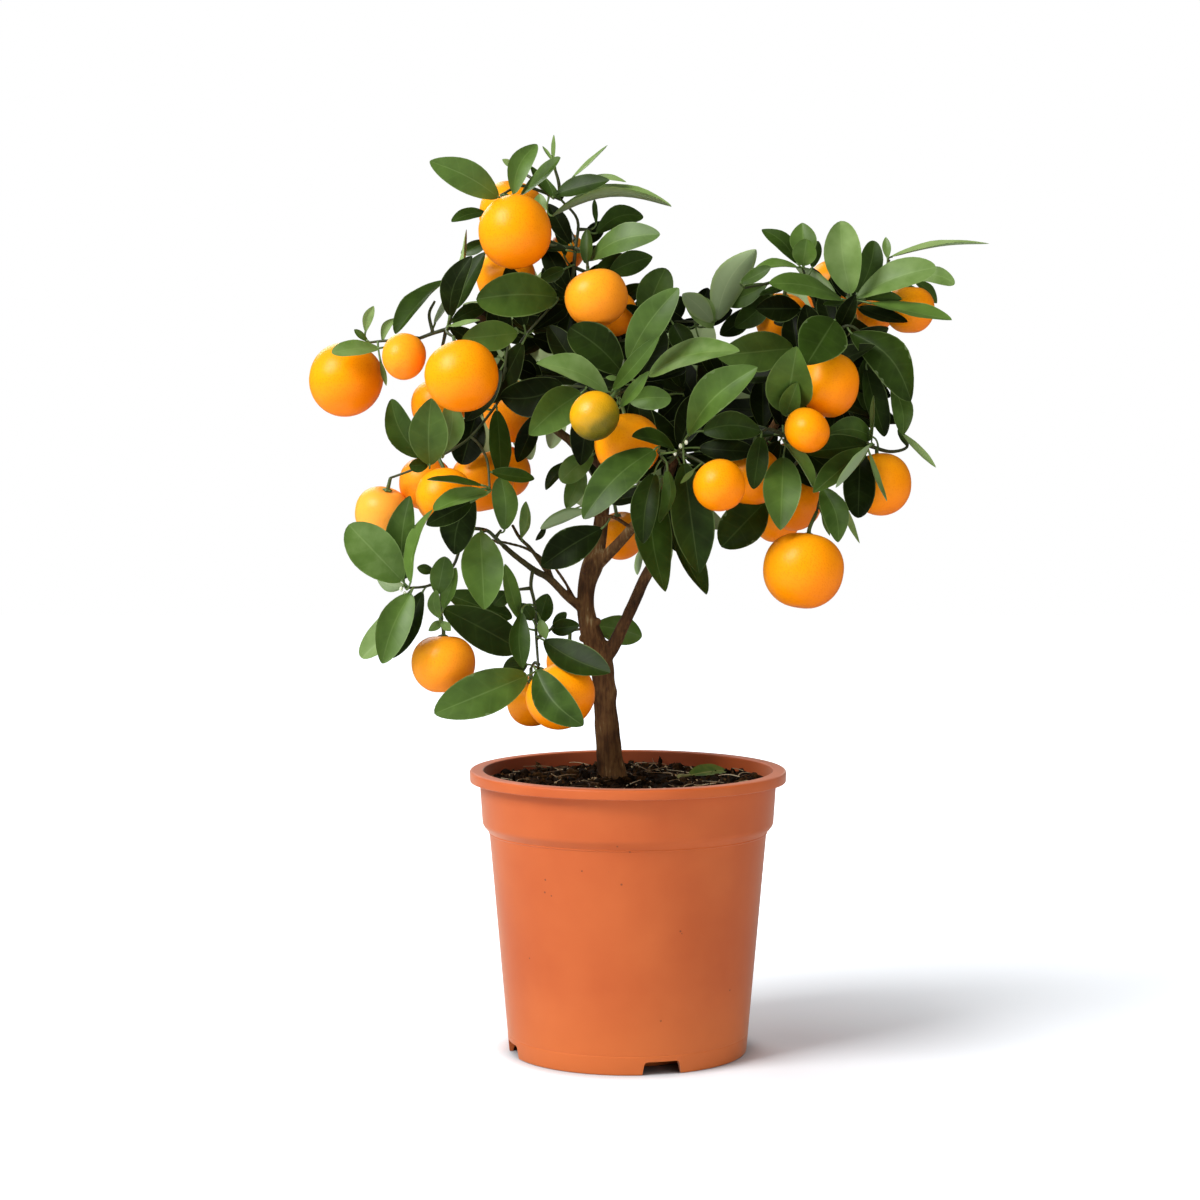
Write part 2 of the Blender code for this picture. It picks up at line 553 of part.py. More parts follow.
def seen(place):
    """The point in millimetres at (x, z, depth): the sight line through (x, 0, z), run on by depth."""
    x, z, depth = place[:3]
    return VIEWPOINT + (Vector((x, 0, z)) - VIEWPOINT) * (1 - depth / VIEWPOINT.y)


def mesh_object(name, shape, made_of=None):
    """An object from a shape, which is (points in millimetres, faces)."""
    points, faces = shape
    mesh = bpy.data.meshes.new(name)
    mesh.from_pydata([point * MM for point in points], [], faces)
    mesh.validate()
    if made_of:
        mesh.materials.append(made_of)
    obj = bpy.data.objects.new(name, mesh)
    bpy.context.scene.collection.objects.link(obj)
    return obj


def tube(centres, radii, sides):
    """A closed tube of round section along the centres, its rings turned as little as they can be."""
    points = []
    across = None
    for i, centre in enumerate(centres):
        along = (centres[min(i + 1, len(centres) - 1)] - centres[max(i - 1, 0)]).normalized()
        start = across if across else Vector((0.3, 1, 0.2))
        across = (start - along * start.dot(along)).normalized()
        upright = along.cross(across)
        for k in range(sides):
            turn = 2 * pi * k / sides
            points.append(centre + (across * cos(turn) + upright * sin(turn)) * radii[i])
    faces = [list(range(sides))[::-1], [len(points) - sides + k for k in range(sides)]]
    for i in range(len(centres) - 1):
        for k in range(sides):
            a, b = i * sides + k, i * sides + (k + 1) % sides
            faces.append([a, b, b + sides, a + sides])
    return points, faces


def limb(places, grow=0.0, sides=LIMB_SIDES):
    """The tube through (x, z, depth, radius) places, grown all round and at its ends by grow."""
    centres = [seen(place) for place in places]
    centres[0] += (centres[0] - centres[1]).normalized() * grow
    centres[-1] += (centres[-1] - centres[-2]).normalized() * grow
    return tube(centres, [place[3] + grow for place in places], sides)


def turned(profile, sides):
    """The solid turned from (radius, z) points that start and end on the axis."""
    points = [Vector((0, 0, profile[0][1])), Vector((0, 0, profile[-1][1]))]
    rings = profile[1:-1]
    for radius, z in rings:
        for k in range(sides):
            turn = 2 * pi * (k + 0.5) / sides
            points.append(Vector((radius * cos(turn), radius * sin(turn), z)))
    faces = []
    for k in range(sides):
        beside = (k + 1) % sides
        faces.append([0, 2 + beside, 2 + k])
        for i in range(len(rings) - 1):
            low, high = 2 + i * sides, 2 + (i + 1) * sides
            faces.append([low + k, low + beside, high + beside, high + k])
        last = 2 + (len(rings) - 1) * sides
        faces.append([1, last + k, last + beside])
    return points, faces


def fruit_shape(centre, radius, length, stem, grow=0.0):
    """An ellipsoid whose long or short axis points along stem."""
    turn = stem.to_track_quat("Z", "Y").to_matrix()
    points = [centre + turn @ Vector((0, 0, end * (length + grow))) for end in (-1, 1)]
    for i in range(1, FRUIT_RINGS):
        angle = pi * i / FRUIT_RINGS
        for k in range(FRUIT_SEGMENTS):
            around = 2 * pi * k / FRUIT_SEGMENTS
            flat = (radius + grow) * sin(angle)
            height = -(length + grow) * cos(angle)
            points.append(centre + turn @ Vector((flat * cos(around), flat * sin(around), height)))
    faces = []
    for k in range(FRUIT_SEGMENTS):
        beside = (k + 1) % FRUIT_SEGMENTS
        faces.append([0, 2 + beside, 2 + k])
        for i in range(FRUIT_RINGS - 2):
            low = 2 + i * FRUIT_SEGMENTS
            high = low + FRUIT_SEGMENTS
            faces.append([low + k, low + beside, high + beside, high + k])
        last = 2 + (FRUIT_RINGS - 2) * FRUIT_SEGMENTS
        faces.append([1, last + k, last + beside])
    return points, faces


def nearest_on(chains, point):
    """The point of the chains of points that lies nearest."""
    best = None
    for chain in chains:
        for a, b in zip(chain, chain[1:]):
            along = max(0.0, min(1.0, (point - a).dot(b - a) / (b - a).length_squared))
            foot = a + (b - a) * along
            if best is None or (foot - point).length < (best - point).length:
                best = foot
    return best


def leaf_frame(base, tip, seen_width, kind):
    """The blade's length, half width, and its directions: along, across and out of the upper side.

    A leaf that looks narrow for its length is turned about its midrib, edge towards the viewer.
    """
    along = (tip - base).normalized()
    length = (tip - base).length
    least = YOUNG_WIDTH if kind == "y" else GROWN_WIDTH
    width = max(seen_width, least * length)
    turn = acos(min(1.0, seen_width / width))
    towards = (VIEWPOINT - (base + tip) / 2).normalized()
    across = along.cross(towards).normalized()
    out = across.cross(along)
    turns = [out * cos(angle) + across * sin(angle) for angle in (turn, -turn)]
    up = max(turns, key=lambda normal: normal.z)
    if kind == "u":
        up = -min(turns, key=lambda normal: normal.z)
    return length, width / 2, along, along.cross(up), up


def leaf_shape(leaf, stem, shift=(0, 0), grow=0.0, stalk=True):
    """A leaf blade folded a little along its midrib, as a three-sided prism, with its leaf stalk.

    Each cross-section has the two edges and the midrib below them. Half width at s of the way from
    base to tip is the sine of pi times s, to a power that blunts the ends.
    """
    base_x, base_z, tip_x, tip_z, seen_width, base_depth, tip_depth, kind, bow = leaf
    base = seen((base_x, base_z, base_depth + shift[0]))
    tip = seen((tip_x, tip_z, tip_depth + shift[1]))
    length, half, along, across, up = leaf_frame(base, tip, seen_width, kind)
    sideways = (VIEWPOINT - base).cross(along).normalized()
    # The arch and the fold also show, the more the leaf stands on edge, so they count into the bow.
    aside = sideways * (bow - (LEAF_ARCH * length + 0.12 * half) * up.dot(sideways))
    midrib = LEAF_MIDRIB[kind] + grow
    points = []
    if stalk:
        stem = stem - (base - stem).normalized() * 0.6
        for turn in (270, 30, 150):
            spoke = across * cos(radians(turn)) + up * sin(radians(turn))
            points.append(stem + spoke * (PETIOLE_RADIUS + grow))
    for s in LEAF_STATIONS:
        arched = sin(pi * s)
        middle = base + along * length * s + aside * arched + up * LEAF_ARCH * length * arched
        reach = half * sin(pi * min(1.0, 0.04 + 0.96 * s)) ** LEAF_BLUNT + grow
        lift = up * reach * sin(LEAF_FOLD)
        spread = across * reach * cos(LEAF_FOLD)
        thin = up * (midrib - 0.4)
        points += [middle - up * midrib, middle + lift + spread + thin, middle + lift - spread + thin]
    points.append(tip + along * grow)
    rings = len(points) // 3
    faces = [[0, 1, 2]]
    for i in range(rings - 1):
        for k in range(3):
            a, b = 3 * i + k, 3 * i + (k + 1) % 3
            faces.append([b, a, a + 3, b + 3])
    last = 3 * (rings - 1)
    faces += [[last + (k + 1) % 3, last + k, len(points) - 1] for k in range(3)]
    return points, faces


def twig(chain):
    """A tapered tube that runs a little past the chain's end, where leaf stalks meet it."""
    last = chain[-1] + (chain[-1] - chain[-2]).normalized() * TWIG_BUD
    steps = len(chain) - 1
    radii = [TWIG_RADIUS - (TWIG_RADIUS - BUD_RADIUS) * i / steps for i in range(steps + 1)]
    return tube(chain[:-1] + [last], radii, TWIG_SIDES)


def tree_of(shape):
    return BVHTree.FromPolygons(*shape)


def keep_outer_surface(mesh):
    """Drops every island of faces but the largest: the rest line closed pockets between stalks."""
    work = bmesh.new()
    work.from_mesh(mesh)
    islands = []
    left = set(work.verts)
    while left:
        reached, island = [left.pop()], set()
        while reached:
            vert = reached.pop()
            island.add(vert)
            for edge in vert.link_edges:
                other = edge.other_vert(vert)
                if other in left:
                    left.remove(other)
                    reached.append(other)
        islands.append(island)
    islands.sort(key=len)
    bmesh.ops.delete(work, geom=[vert for island in islands[:-1] for vert in island], context="VERTS")
    work.to_mesh(mesh)
    work.free()


def fused(name, shapes, made_of, cutters=(), solver="EXACT"):
    """One object: the Boolean union of the shapes, less the cutters.

    The MANIFOLD solver is for the wood and the shoots: where a dozen leaf stalks meet at one
    point of a twig, EXACT leaves the union open.
    """
    base = mesh_object(name, shapes[0], made_of)
    helpers = []
    for operation, pieces in (("UNION", shapes[1:]), ("DIFFERENCE", cutters)):
        for piece in pieces:
            helper = mesh_object(f"{name}_{len(helpers)}", piece)
            boolean = base.modifiers.new(helper.name, "BOOLEAN")
            boolean.operation = operation
            boolean.object = helper
            boolean.solver = solver
            helpers.append(helper)
    bpy.context.view_layer.update()
    graph = bpy.context.evaluated_depsgraph_get()
    mesh = bpy.data.meshes.new_from_object(base.evaluated_get(graph))
    base.modifiers.clear()
    base.data = mesh
    mesh.name = name
    keep_outer_surface(mesh)
    for helper in helpers:
        bpy.data.objects.remove(helper)
    return base


def shade(obj, angle=40):
    obj.data.shade_smooth()
    obj.data.set_sharp_from_angle(angle=radians(angle))


def pot(made_of):
    lip_foot = POT_HEIGHT - LIP_HEIGHT
    top_inside = COLLAR_TOP_RADIUS - WALL
    profile = [
        (0, 0),
        (CHANNEL_INNER_RADIUS, 0),
        (CHANNEL_INNER_RADIUS + 1, CHANNEL_Z),
        (FOOT_RADIUS - 2 * WALL, CHANNEL_Z),
        (FOOT_RADIUS - WALL, 0),
        (FOOT_RADIUS, 0),
        (WALL_TOP_RADIUS, STEP_Z),
        (COLLAR_FOOT_RADIUS, COLLAR_FOOT_Z),
        (COLLAR_TOP_RADIUS, lip_foot),
        (RIM_RADIUS - RIM_EDGE, lip_foot),
        (RIM_RADIUS, lip_foot + RIM_EDGE),
        (RIM_RADIUS, POT_HEIGHT - RIM_EDGE),
        (RIM_RADIUS - RIM_EDGE, POT_HEIGHT),
        (top_inside + RIM_EDGE, POT_HEIGHT),
        (top_inside, POT_HEIGHT - RIM_EDGE),
        (COLLAR_FOOT_RADIUS - WALL, COLLAR_FOOT_Z),
        (WALL_TOP_RADIUS - WALL, STEP_Z),
        (INSIDE_FOOT_RADIUS, CHANNEL_Z + WALL),
        (CHANNEL_INNER_RADIUS - 1, CHANNEL_Z + WALL),
        (CHANNEL_INNER_RADIUS - 2, WALL),
        (0, WALL),
    ]
    notches = []
    for angle in NOTCH_ANGLES:
        around = Matrix.Rotation(radians(angle - 90), 3, "Z")
        outline = [
            (-NOTCH_FOOT_WIDTH / 2, -1), (NOTCH_FOOT_WIDTH / 2, -1),
            (NOTCH_FOOT_WIDTH / 2, 0), (NOTCH_TOP_WIDTH / 2 + 1, NOTCH_HEIGHT - 1.5),
            (NOTCH_TOP_WIDTH / 2 - 1, NOTCH_HEIGHT), (1 - NOTCH_TOP_WIDTH / 2, NOTCH_HEIGHT),
            (-NOTCH_TOP_WIDTH / 2 - 1, NOTCH_HEIGHT - 1.5), (-NOTCH_FOOT_WIDTH / 2, 0),
        ]
        count = len(outline)
        points = [
            around @ Vector((radius, side, z))
            for radius in (FOOT_RADIUS - 2 * WALL - 1, FOOT_RADIUS + 4)
            for side, z in outline
        ]
        faces = [list(range(count))[::-1], list(range(count, 2 * count))]
        for k in range(count):
            beside = (k + 1) % count
            faces.append([k, beside, beside + count, k + count])
        notches.append((points, faces))
    shade(fused("pot", [turned(profile, POT_SIDES)], made_of, notches))


def soil_wall(z):
    """The radius of the soil where it meets the inside of the pot wall at height z."""
    climb = (z - CHANNEL_Z - WALL) / (STEP_Z - CHANNEL_Z - WALL)
    return INSIDE_FOOT_RADIUS + climb * (WALL_TOP_RADIUS - WALL - INSIDE_FOOT_RADIUS) - SOIL_SLACK


def potting_soil(made_of):
    floor = CHANNEL_Z + WALL + GAP
    profile = [
        (0, WALL + GAP),
        (CHANNEL_INNER_RADIUS - 2 - 2 * GAP, WALL + GAP),
        (CHANNEL_INNER_RADIUS - 1 - 2 * GAP, floor),
        (soil_wall(floor), floor),
        (soil_wall(STEP_Z), STEP_Z),
        (COLLAR_FOOT_RADIUS - WALL - SOIL_SLACK, COLLAR_FOOT_Z + 0.5),
        (COLLAR_TOP_RADIUS - WALL - SOIL_SLACK - 0.2, SOIL_Z - 1),
        (COLLAR_TOP_RADIUS - WALL - 8, SOIL_Z - 0.2),
        (22, SOIL_Z - 1.5),
        (0, SOIL_Z - 1.5),
    ]
    socket = limb(TRUNK, GAP, TRUNK_SIDES)
    shade(fused("potting_soil", [turned(profile, SOIL_SIDES)], made_of, [socket]))


def fallen_leaf(made_of):
    """A loose leaf that lies on the soil, its tip and one edge a little raised."""
    shade(fused("fallen_leaf", [leaf_shape(FALLEN_LEAF, seen(FALLEN_LEAF_STEM))], made_of))


def outward_rosette(x, z, depth, count, length):
    """Leaves all round a twig's end at the back of the crown, turned by the golden angle each."""
    node = seen((x, z, depth))
    axis = Vector((0.25 * x / 100, 1, 0.35)).normalized()
    side = axis.cross(Vector((0, 0, 1))).normalized()
    leaves = []
    for i in range(count):
        turn = GOLDEN_ANGLE * i + 0.01 * x
        lean = radians(48 + 22 * (i % 3))
        way = axis * cos(lean) + (side * cos(turn) + side.cross(axis) * sin(turn)) * sin(lean)
        ends = []
        for reach in (5, 5 + length * (0.85 + 0.1 * (i % 3))):
            point = node + way * reach
            deep = point.y
            flat = VIEWPOINT + (point - VIEWPOINT) / (1 - deep / VIEWPOINT.y)
            ends.append((flat.x, flat.z, deep))
        (base_x, base_z, base_depth), (tip_x, tip_z, tip_depth) = ends
        wide = length * 0.46 * (0.55 + 0.4 * abs(sin(turn)))
        leaves.append((base_x, base_z, tip_x, tip_z, wide, base_depth, tip_depth, "m", 0))
    return leaves


def placed_leaves(shoots, obstacles):
    """Each leaf's shape, moved along the line of sight by the least shift that clears the rest."""
    placed = []
    for name, chains, leaves in shoots:
        for i, leaf in enumerate(leaves):
            base, tip = seen((leaf[0], leaf[1], leaf[5])), seen((leaf[2], leaf[3], leaf[6]))
            stem = nearest_on(chains, base - (tip - base).normalized() * 6)
            stem += (base - stem).normalized() * 0.15 * (i % 4)
            best = None
            for shift in LEAF_SHIFTS:
                whole = tree_of(leaf_shape(leaf, stem, shift, 0.5))
                blade = tree_of(leaf_shape(leaf, stem, shift, 0.5, False))
                hits = 0
                for owner, other_whole, other_blade in obstacles + placed:
                    if owner == name:
                        hits += bool(other_blade and blade.overlap(other_blade))
                    else:
                        hits += 3 * bool(whole.overlap(other_whole))
                if best is None or hits < best[0]:
                    best = (hits, shift)
                if not hits:
                    break
            shape = leaf_shape(leaf, stem, best[1])
            bare = leaf_shape(leaf, stem, best[1], 0, False)
            placed.append((name, tree_of(shape), tree_of(bare)))
            yield name, shape


def main():
    clear_scene()
    plastic = material("pot_plastic", 0xE2743F, 0.45)
    earth = material("soil", 0x2E221A, 0.95)
    bark = material("bark", 0x5B4232, 0.85)
    green = material("leaf", 0x3E6B2A, 0.4)
    olive = material("fallen_leaf", 0x7A7A3A, 0.55)
    peel = material("peel", 0xFF9A0A, 0.4)
    green_peel = material("unripe_peel", 0xE8B90C, 0.4)

    pot(plastic)
    potting_soil(earth)
    fallen_leaf(olive)

    shade(fused("trunk", [limb(TRUNK, 0, TRUNK_SIDES)], bark))
    fat = {"trunk": [limb(TRUNK, GAP, TRUNK_SIDES)]}
    bodies, carriers, chains_of, leaves_of = {}, {}, {}, {}
    for name, (limbs, carried_by, leaves) in BRANCHES.items():
        bodies[name] = [limb(places) for places in limbs]
        fat[name] = [limb(places, GAP) for places in limbs]
        carriers[name] = carried_by
        chains_of[name] = [[seen(place) for place in places] for places in limbs]
        leaves_of[name] = leaves
    wood = [("trunk", tree_of(fat["trunk"][0]), None)]
    wood += [(name, tree_of(shape), None) for name in BRANCHES for shape in fat[name]]

    for name, (carrier, twigs, leaves) in SHOOTS.items():
        carriers[name] = [carrier]
        chains_of[name] = [[seen(place) for place in twig] for twig in twigs]
        bodies[name] = [twig(chain) for chain in chains_of[name]]
        rosettes = [leaf for spot in BACK_ROSETTES.get(name, []) for leaf in outward_rosette(*spot)]
        leaves_of[name] = leaves + rosettes

    peels = []
    for number, place, radius, length, bearer, stem in FRUITS:
        centre = seen(place)
        chains = chains_of[bearer]
        if stem:
            axis = Vector((stem[0], stem[1], stem[2])).normalized()
        else:
            axis = (nearest_on(chains, centre + Vector((0, 0, length + 5))) - centre).normalized()
        shape = fruit_shape(centre, radius, length, axis)
        made = mesh_object(f"fruit_{number:02d}", shape, green_peel if number == 33 else peel)
        shade(made, 60)
        peels.append(("peel", tree_of(fruit_shape(centre, radius, length, axis, 0.7)), None))
        pole = centre + axis * (length + GAP)
        root = nearest_on(chains, pole + axis * 3)
        stub = pole + axis * min(4.0, 0.5 * (root - pole).length)
        bodies[bearer].append(tube([pole, stub, root], [STALK_RADIUS] * 3, TWIG_SIDES))

    twigs = [(name, tree_of(shape), None) for name in SHOOTS for shape in bodies[name]]
    bearers = [(name, chains_of[name], leaves_of[name]) for name in bodies]
    for name, shape in placed_leaves(bearers, wood + peels + twigs):
        bodies[name].append(shape)

    for name, shapes in bodies.items():
        cutters = [shape for carrier in carriers[name] for shape in fat[carrier]]
        on_wood = name in BRANCHES
        node = name if on_wood else f"shoot_{name}"
        shade(fused(node, shapes, bark if on_wood else green, cutters, "MANIFOLD"), 30)


main()
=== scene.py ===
# %% [markdown]
# # A potted calamondin
#
# The real object is a young calamondin, a small citrus, in an orange nursery pot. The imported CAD
# model gives every pot wall, branch, fruit and leaf its place. This lesson builds what the eye
# sees on top of it: waxy leaves with veins, pored peel, furrowed bark, crumbly soil and moulded
# plastic. Each piece is a surface worked out with numpy, so its shape is a formula that can be
# read and changed.

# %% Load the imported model
from collections import namedtuple
from math import acos, pi, radians

import bmesh
import bpy
import numpy as np
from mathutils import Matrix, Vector
from mathutils.bvhtree import BVHTree


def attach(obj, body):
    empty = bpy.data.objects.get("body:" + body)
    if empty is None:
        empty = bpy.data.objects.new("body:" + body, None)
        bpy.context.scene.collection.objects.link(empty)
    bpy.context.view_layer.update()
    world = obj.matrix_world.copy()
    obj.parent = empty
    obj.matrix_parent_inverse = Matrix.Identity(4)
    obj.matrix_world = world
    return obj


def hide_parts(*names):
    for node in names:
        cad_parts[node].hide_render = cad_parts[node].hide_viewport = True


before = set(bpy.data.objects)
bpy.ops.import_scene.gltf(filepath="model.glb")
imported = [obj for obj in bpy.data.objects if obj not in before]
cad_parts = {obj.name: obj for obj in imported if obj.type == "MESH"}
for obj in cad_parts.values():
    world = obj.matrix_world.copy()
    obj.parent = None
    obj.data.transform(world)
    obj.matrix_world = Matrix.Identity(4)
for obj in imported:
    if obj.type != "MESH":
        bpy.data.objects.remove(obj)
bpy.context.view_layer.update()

# %% [markdown]
# ## Camera, light and floor
#
# The plant stands on a pale floor in soft studio light. The camera looks down by three degrees
# from 1.4 m in front. A big soft lamp stands high on the left, so each fruit is brightest at
# its upper left and the pot darkens to the right, where a wide soft shadow falls on the floor.
# Painted light and shade add to both: the peel is painted yellower towards the upper left, and
# the floor's glow is painted dimmer where the shadow falls.

# %% The camera
MM = 0.001
VIEWPOINT = np.array([-15.0, -1400.0, 316.0])  # in mm, as all lengths below
camera_data = bpy.data.cameras.new("studio_camera")
camera_data.lens, camera_data.sensor_width = 78.5, 36.0
camera = bpy.data.objects.new("studio_camera", camera_data)
camera.location = (VIEWPOINT * MM).tolist()
camera.rotation_euler = (radians(87), 0, 0)
bpy.context.scene.collection.objects.link(camera)
bpy.context.scene.camera = camera
bpy.context.scene.view_settings.view_transform = "Standard"
print("camera at", tuple(camera.location), "lens", camera_data.lens, "mm")


# %% One function for colours, one for nodes
def linear(hex_colour):
    """An sRGB hex colour as linear red, green, blue and alpha: the standard sRGB curve undone."""
    channels = np.array([hex_colour >> shift & 255 for shift in (16, 8, 0)]) / 255
    curved = np.where(channels <= 0.04045, channels / 12.92, ((channels + 0.055) / 1.055) ** 2.4)
    return (*curved.tolist(), 1.0)


def plug(tree, node, sockets):
    """Fills a node's inputs: sockets maps an input's name or number to a value, to another node's
    output, or to a node, which stands for its first output."""
    for socket, value in dict(sockets).items():
        if isinstance(value, bpy.types.Node):
            value = value.outputs[0]
        if isinstance(value, bpy.types.NodeSocket):
            tree.links.new(value, node.inputs[socket])
        else:
            node.inputs[socket].default_value = value


def add(tree, kind, sockets=(), stops=(), **settings):
    """Adds a node of a kind: sockets are plugged in, stops fills a colour ramp with (place, hex),
    and settings are its properties."""
    made = tree.nodes.new("ShaderNode" + kind)
    for name, value in settings.items():
        setattr(made, name, value)
    plug(tree, made, sockets)
    if stops:
        ramp = made.color_ramp.elements
        while len(ramp) < len(stops):
            ramp.new(0.5)
        for element, (place, colour) in zip(ramp, stops):
            element.position, element.color = place, linear(colour)
    return made


def new_material(name):
    """A node material with its Principled shader, ready for patterns."""
    made = bpy.data.materials.new(name)
    made.use_nodes = True
    return made, made.node_tree, made.node_tree.nodes["Principled BSDF"]


print("mid leaf green, linear:", [round(v, 3) for v in linear(0x3E6B2A)])

# %% Soft lamps, a white surround and the floor
world = bpy.data.worlds.new("studio")
bpy.context.scene.world = world
world.use_nodes = True
sky = world.node_tree
surround = sky.nodes["Background"]
plug(sky, surround, {"Color": linear(0xFFFFFF), "Strength": 0.24})
backdrop = add(sky, "Background", {"Color": linear(0xFFFFFF), "Strength": 1.0})
flags = add(sky, "Background", {"Color": linear(0xFFFFFF), "Strength": 0.07})
eye = add(sky, "LightPath")
# Black flags beside the set keep the white room out of the reflections, so only the lamps gleam.
in_gloss = add(sky, "MixShader", {0: eye.outputs["Is Glossy Ray"], 1: surround, 2: flags})
seen_white = add(sky, "MixShader", {0: eye.outputs["Is Camera Ray"], 1: in_gloss, 2: backdrop})
plug(sky, sky.nodes["World Output"], {"Surface": seen_white})

LAMPS = {  # place in metres, what it points at, width in metres, power in watts
    "key": ((-1.25, -0.90, 1.5), (0, 0, 0.28), 0.9, 45.0),
    "fill": ((1.0, -1.6, 0.8), (0, 0, 0.25), 1.4, 10.0),
    "rim": ((-0.6, 1.3, 1.2), (0, 0, 0.3), 0.8, 8.0),
}
for name, (place, target, width, power) in LAMPS.items():
    lamp_data = bpy.data.lights.new(name, "AREA")
    lamp_data.size, lamp_data.energy = width, power
    lamp = bpy.data.objects.new(name, lamp_data)
    lamp.location = place
    lamp.rotation_euler = (Vector(target) - Vector(place)).to_track_quat("-Z", "Y").to_euler()
    lamp.visible_glossy = name != "fill"  # the fill lamp is bounced off a wall, so it has no gleam
    bpy.context.scene.collection.objects.link(lamp)

floor_mesh = bpy.data.meshes.new("floor")
FLOOR_HALF = 4.0
floor_corners = FLOOR_HALF * np.array([(-1, -1, 0), (1, -1, 0), (1, 1, 0), (-1, 1, 0)])
floor_mesh.from_pydata(floor_corners.tolist(), [], [(0, 1, 2, 3)])
floor = bpy.data.objects.new("floor", floor_mesh)
bpy.context.scene.collection.objects.link(floor)
painted_light_paper, paper_tree, paper = new_material("white_paper_painted_glow_and_shade")
# White paper that glows, though it is no lamp: painted light. It glows least near the pot and
# in full half a metre on, which hides its edge.
floor_place = add(paper_tree, "TexCoord")
# It is dimmest just right of the pot: a painted shadow, laid where the lamps' shadow falls.
PAINTED_SHADOW_MIDDLE = (0.09, 0.02, 0.0)
from_painted_shadow = add(paper_tree, "VectorMath", {
    0: floor_place.outputs["Object"], 1: PAINTED_SHADOW_MIDDLE}, operation="DISTANCE")
glow = add(paper_tree, "MapRange", {
    0: from_painted_shadow.outputs["Value"], 1: 0.01, 2: 0.55, 3: 0.03, 4: 1.0})
# The glow shows in full to the camera and, as painted light, lights the plant from below
# with two fifths of its strength.
looked_at = add(paper_tree, "LightPath")
share = add(paper_tree, "MapRange", {0: looked_at.outputs["Is Camera Ray"], 3: 0.4, 4: 1.0})
# Inside the pot's foot and close round it the glow is taken away: a painted contact shadow.
from_axis = add(paper_tree, "VectorMath", {0: floor_place.outputs["Object"]}, operation="LENGTH")
clear_of_painted_foot_shade = add(paper_tree, "MapRange", {
    0: from_axis.outputs["Value"], 1: 0.06, 2: 0.085}, interpolation_type="SMOOTHSTEP")
glow = add(paper_tree, "Math", {0: glow, 1: clear_of_painted_foot_shade}, operation="MULTIPLY")
# Under the foot and close round it, where the paper lies in a corner, an occlusion test darkens
# its colour towards near black and dims its glow: painted shade.
PAINTED_SHADE_REACH = 0.022
corner = add(paper_tree, "AmbientOcclusion", {"Distance": PAINTED_SHADE_REACH})
painted_shade_share = add(paper_tree, "MapRange", {0: corner.outputs["AO"], 1: 0.1, 2: 0.75, 3: 0.25, 4: 1.0})
painted_shade_paper = add(paper_tree, "Mix", {
    0: painted_shade_share, 6: linear(0x202224), 7: linear(0xEEF2F6)}, data_type="RGBA")
glow = add(paper_tree, "Math", {0: glow, 1: painted_shade_share}, operation="MULTIPLY")
seen_glow = add(paper_tree, "Math", {0: glow, 1: share}, operation="MULTIPLY")
# The paper and its glow are tinted a little blue, a painted offset that cancels the pot's warm bounced
# light in the shadow.
plug(paper_tree, paper, {
    "Base Color": painted_shade_paper.outputs[2], "Roughness": 0.9, "Specular IOR Level": 0.0,
    "Emission Color": linear(0xF8FBFF), "Emission Strength": seen_glow})
# The flags also keep most of the paper out of the reflections.
flagged = add(paper_tree, "Math", {
    0: looked_at.outputs["Is Glossy Ray"], 1: 0.85}, operation="MULTIPLY")
black_flag = add(paper_tree, "BsdfDiffuse", {"Color": linear(0x000000)})
kept_out = add(paper_tree, "MixShader", {0: flagged, 1: paper, 2: black_flag})
plug(paper_tree, paper_tree.nodes["Material Output"], {"Surface": kept_out})
floor_mesh.materials.append(painted_light_paper)
print("lamps:", ", ".join(LAMPS))

# %% [markdown]
# ## Where things are
#
# The crown was laid out from the camera's viewpoint. A place is (x, z, depth) in millimetres:
# where a line of sight crosses the upright plane through the pot's axis, and how far behind that
# plane the point lies on the line. The solids use the same lists, so each leaf, twig and fruit
# here lands on its own solid.

# %% The layout lists
def seen(places):
    """Points for (x, z, depth) places: the sight line through (x, 0, z), stretched from the
    viewpoint by one plus depth over the viewpoint's distance."""
    places = np.asarray(places, float)
    flat = np.stack([places[..., 0], np.zeros(places.shape[:-1]), places[..., 1]], -1)
    return VIEWPOINT + (flat - VIEWPOINT) * (1 - places[..., 2:3] / VIEWPOINT[1])


# Wood: (x, z, depth, radius) along each limb, and the node that it grows from.
TRUNK = [
    (-7.0, 118, 0, 8.0), (-7.5, 143, 0, 7.8), (-9.5, 155, 0, 7.2), (-11, 172, 0, 6.6),
    (-12.3, 187, 0, 6.3), (-12.6, 193, 0, 7.0), (-13, 199, 0, 6.1), (-15, 212, 0, 6.5),
    (-20, 226, 0, 5.7), (-22.6, 238, 0, 4.7), (-22, 251, 1, 4.9), (-19, 261, 2, 5.8),
    (-16.5, 270, 3, 4.5), (-14.5, 284, 4, 4.0), (-12.5, 302, 6, 3.5),
]
RIGHT_LIMB = [
    (-15, 208, 0, 4.2), (-8, 218, -1, 3.8), (-3, 228, -1, 3.3), (4, 243, -3, 3.2),
    (11, 258, -4, 3.1), (24, 276, -4, 3.0), (40, 291, -2, 2.9), (58, 308, 2, 2.7),
    (72, 326, 7, 2.5), (84, 345, 8, 2.3), (100, 365, 6, 2.1), (112, 383, 2, 1.9),
    (118, 395, -2, 1.7),
]
CENTRE_LIMB = [
    (-19, 259, 2, 3.6), (-13, 265, 0, 3.3), (-6, 272, -4, 3.0), (2, 281, -10, 2.8),
    (11, 292, -18, 2.6), (20, 305, -27, 2.4), (26, 320, -36, 2.1),
]
CENTRE_LIMB_SIDE = [(2, 281, -10, 1.2), (-8, 287, -22, 1.1), (-20, 288, -32, 1.0)]
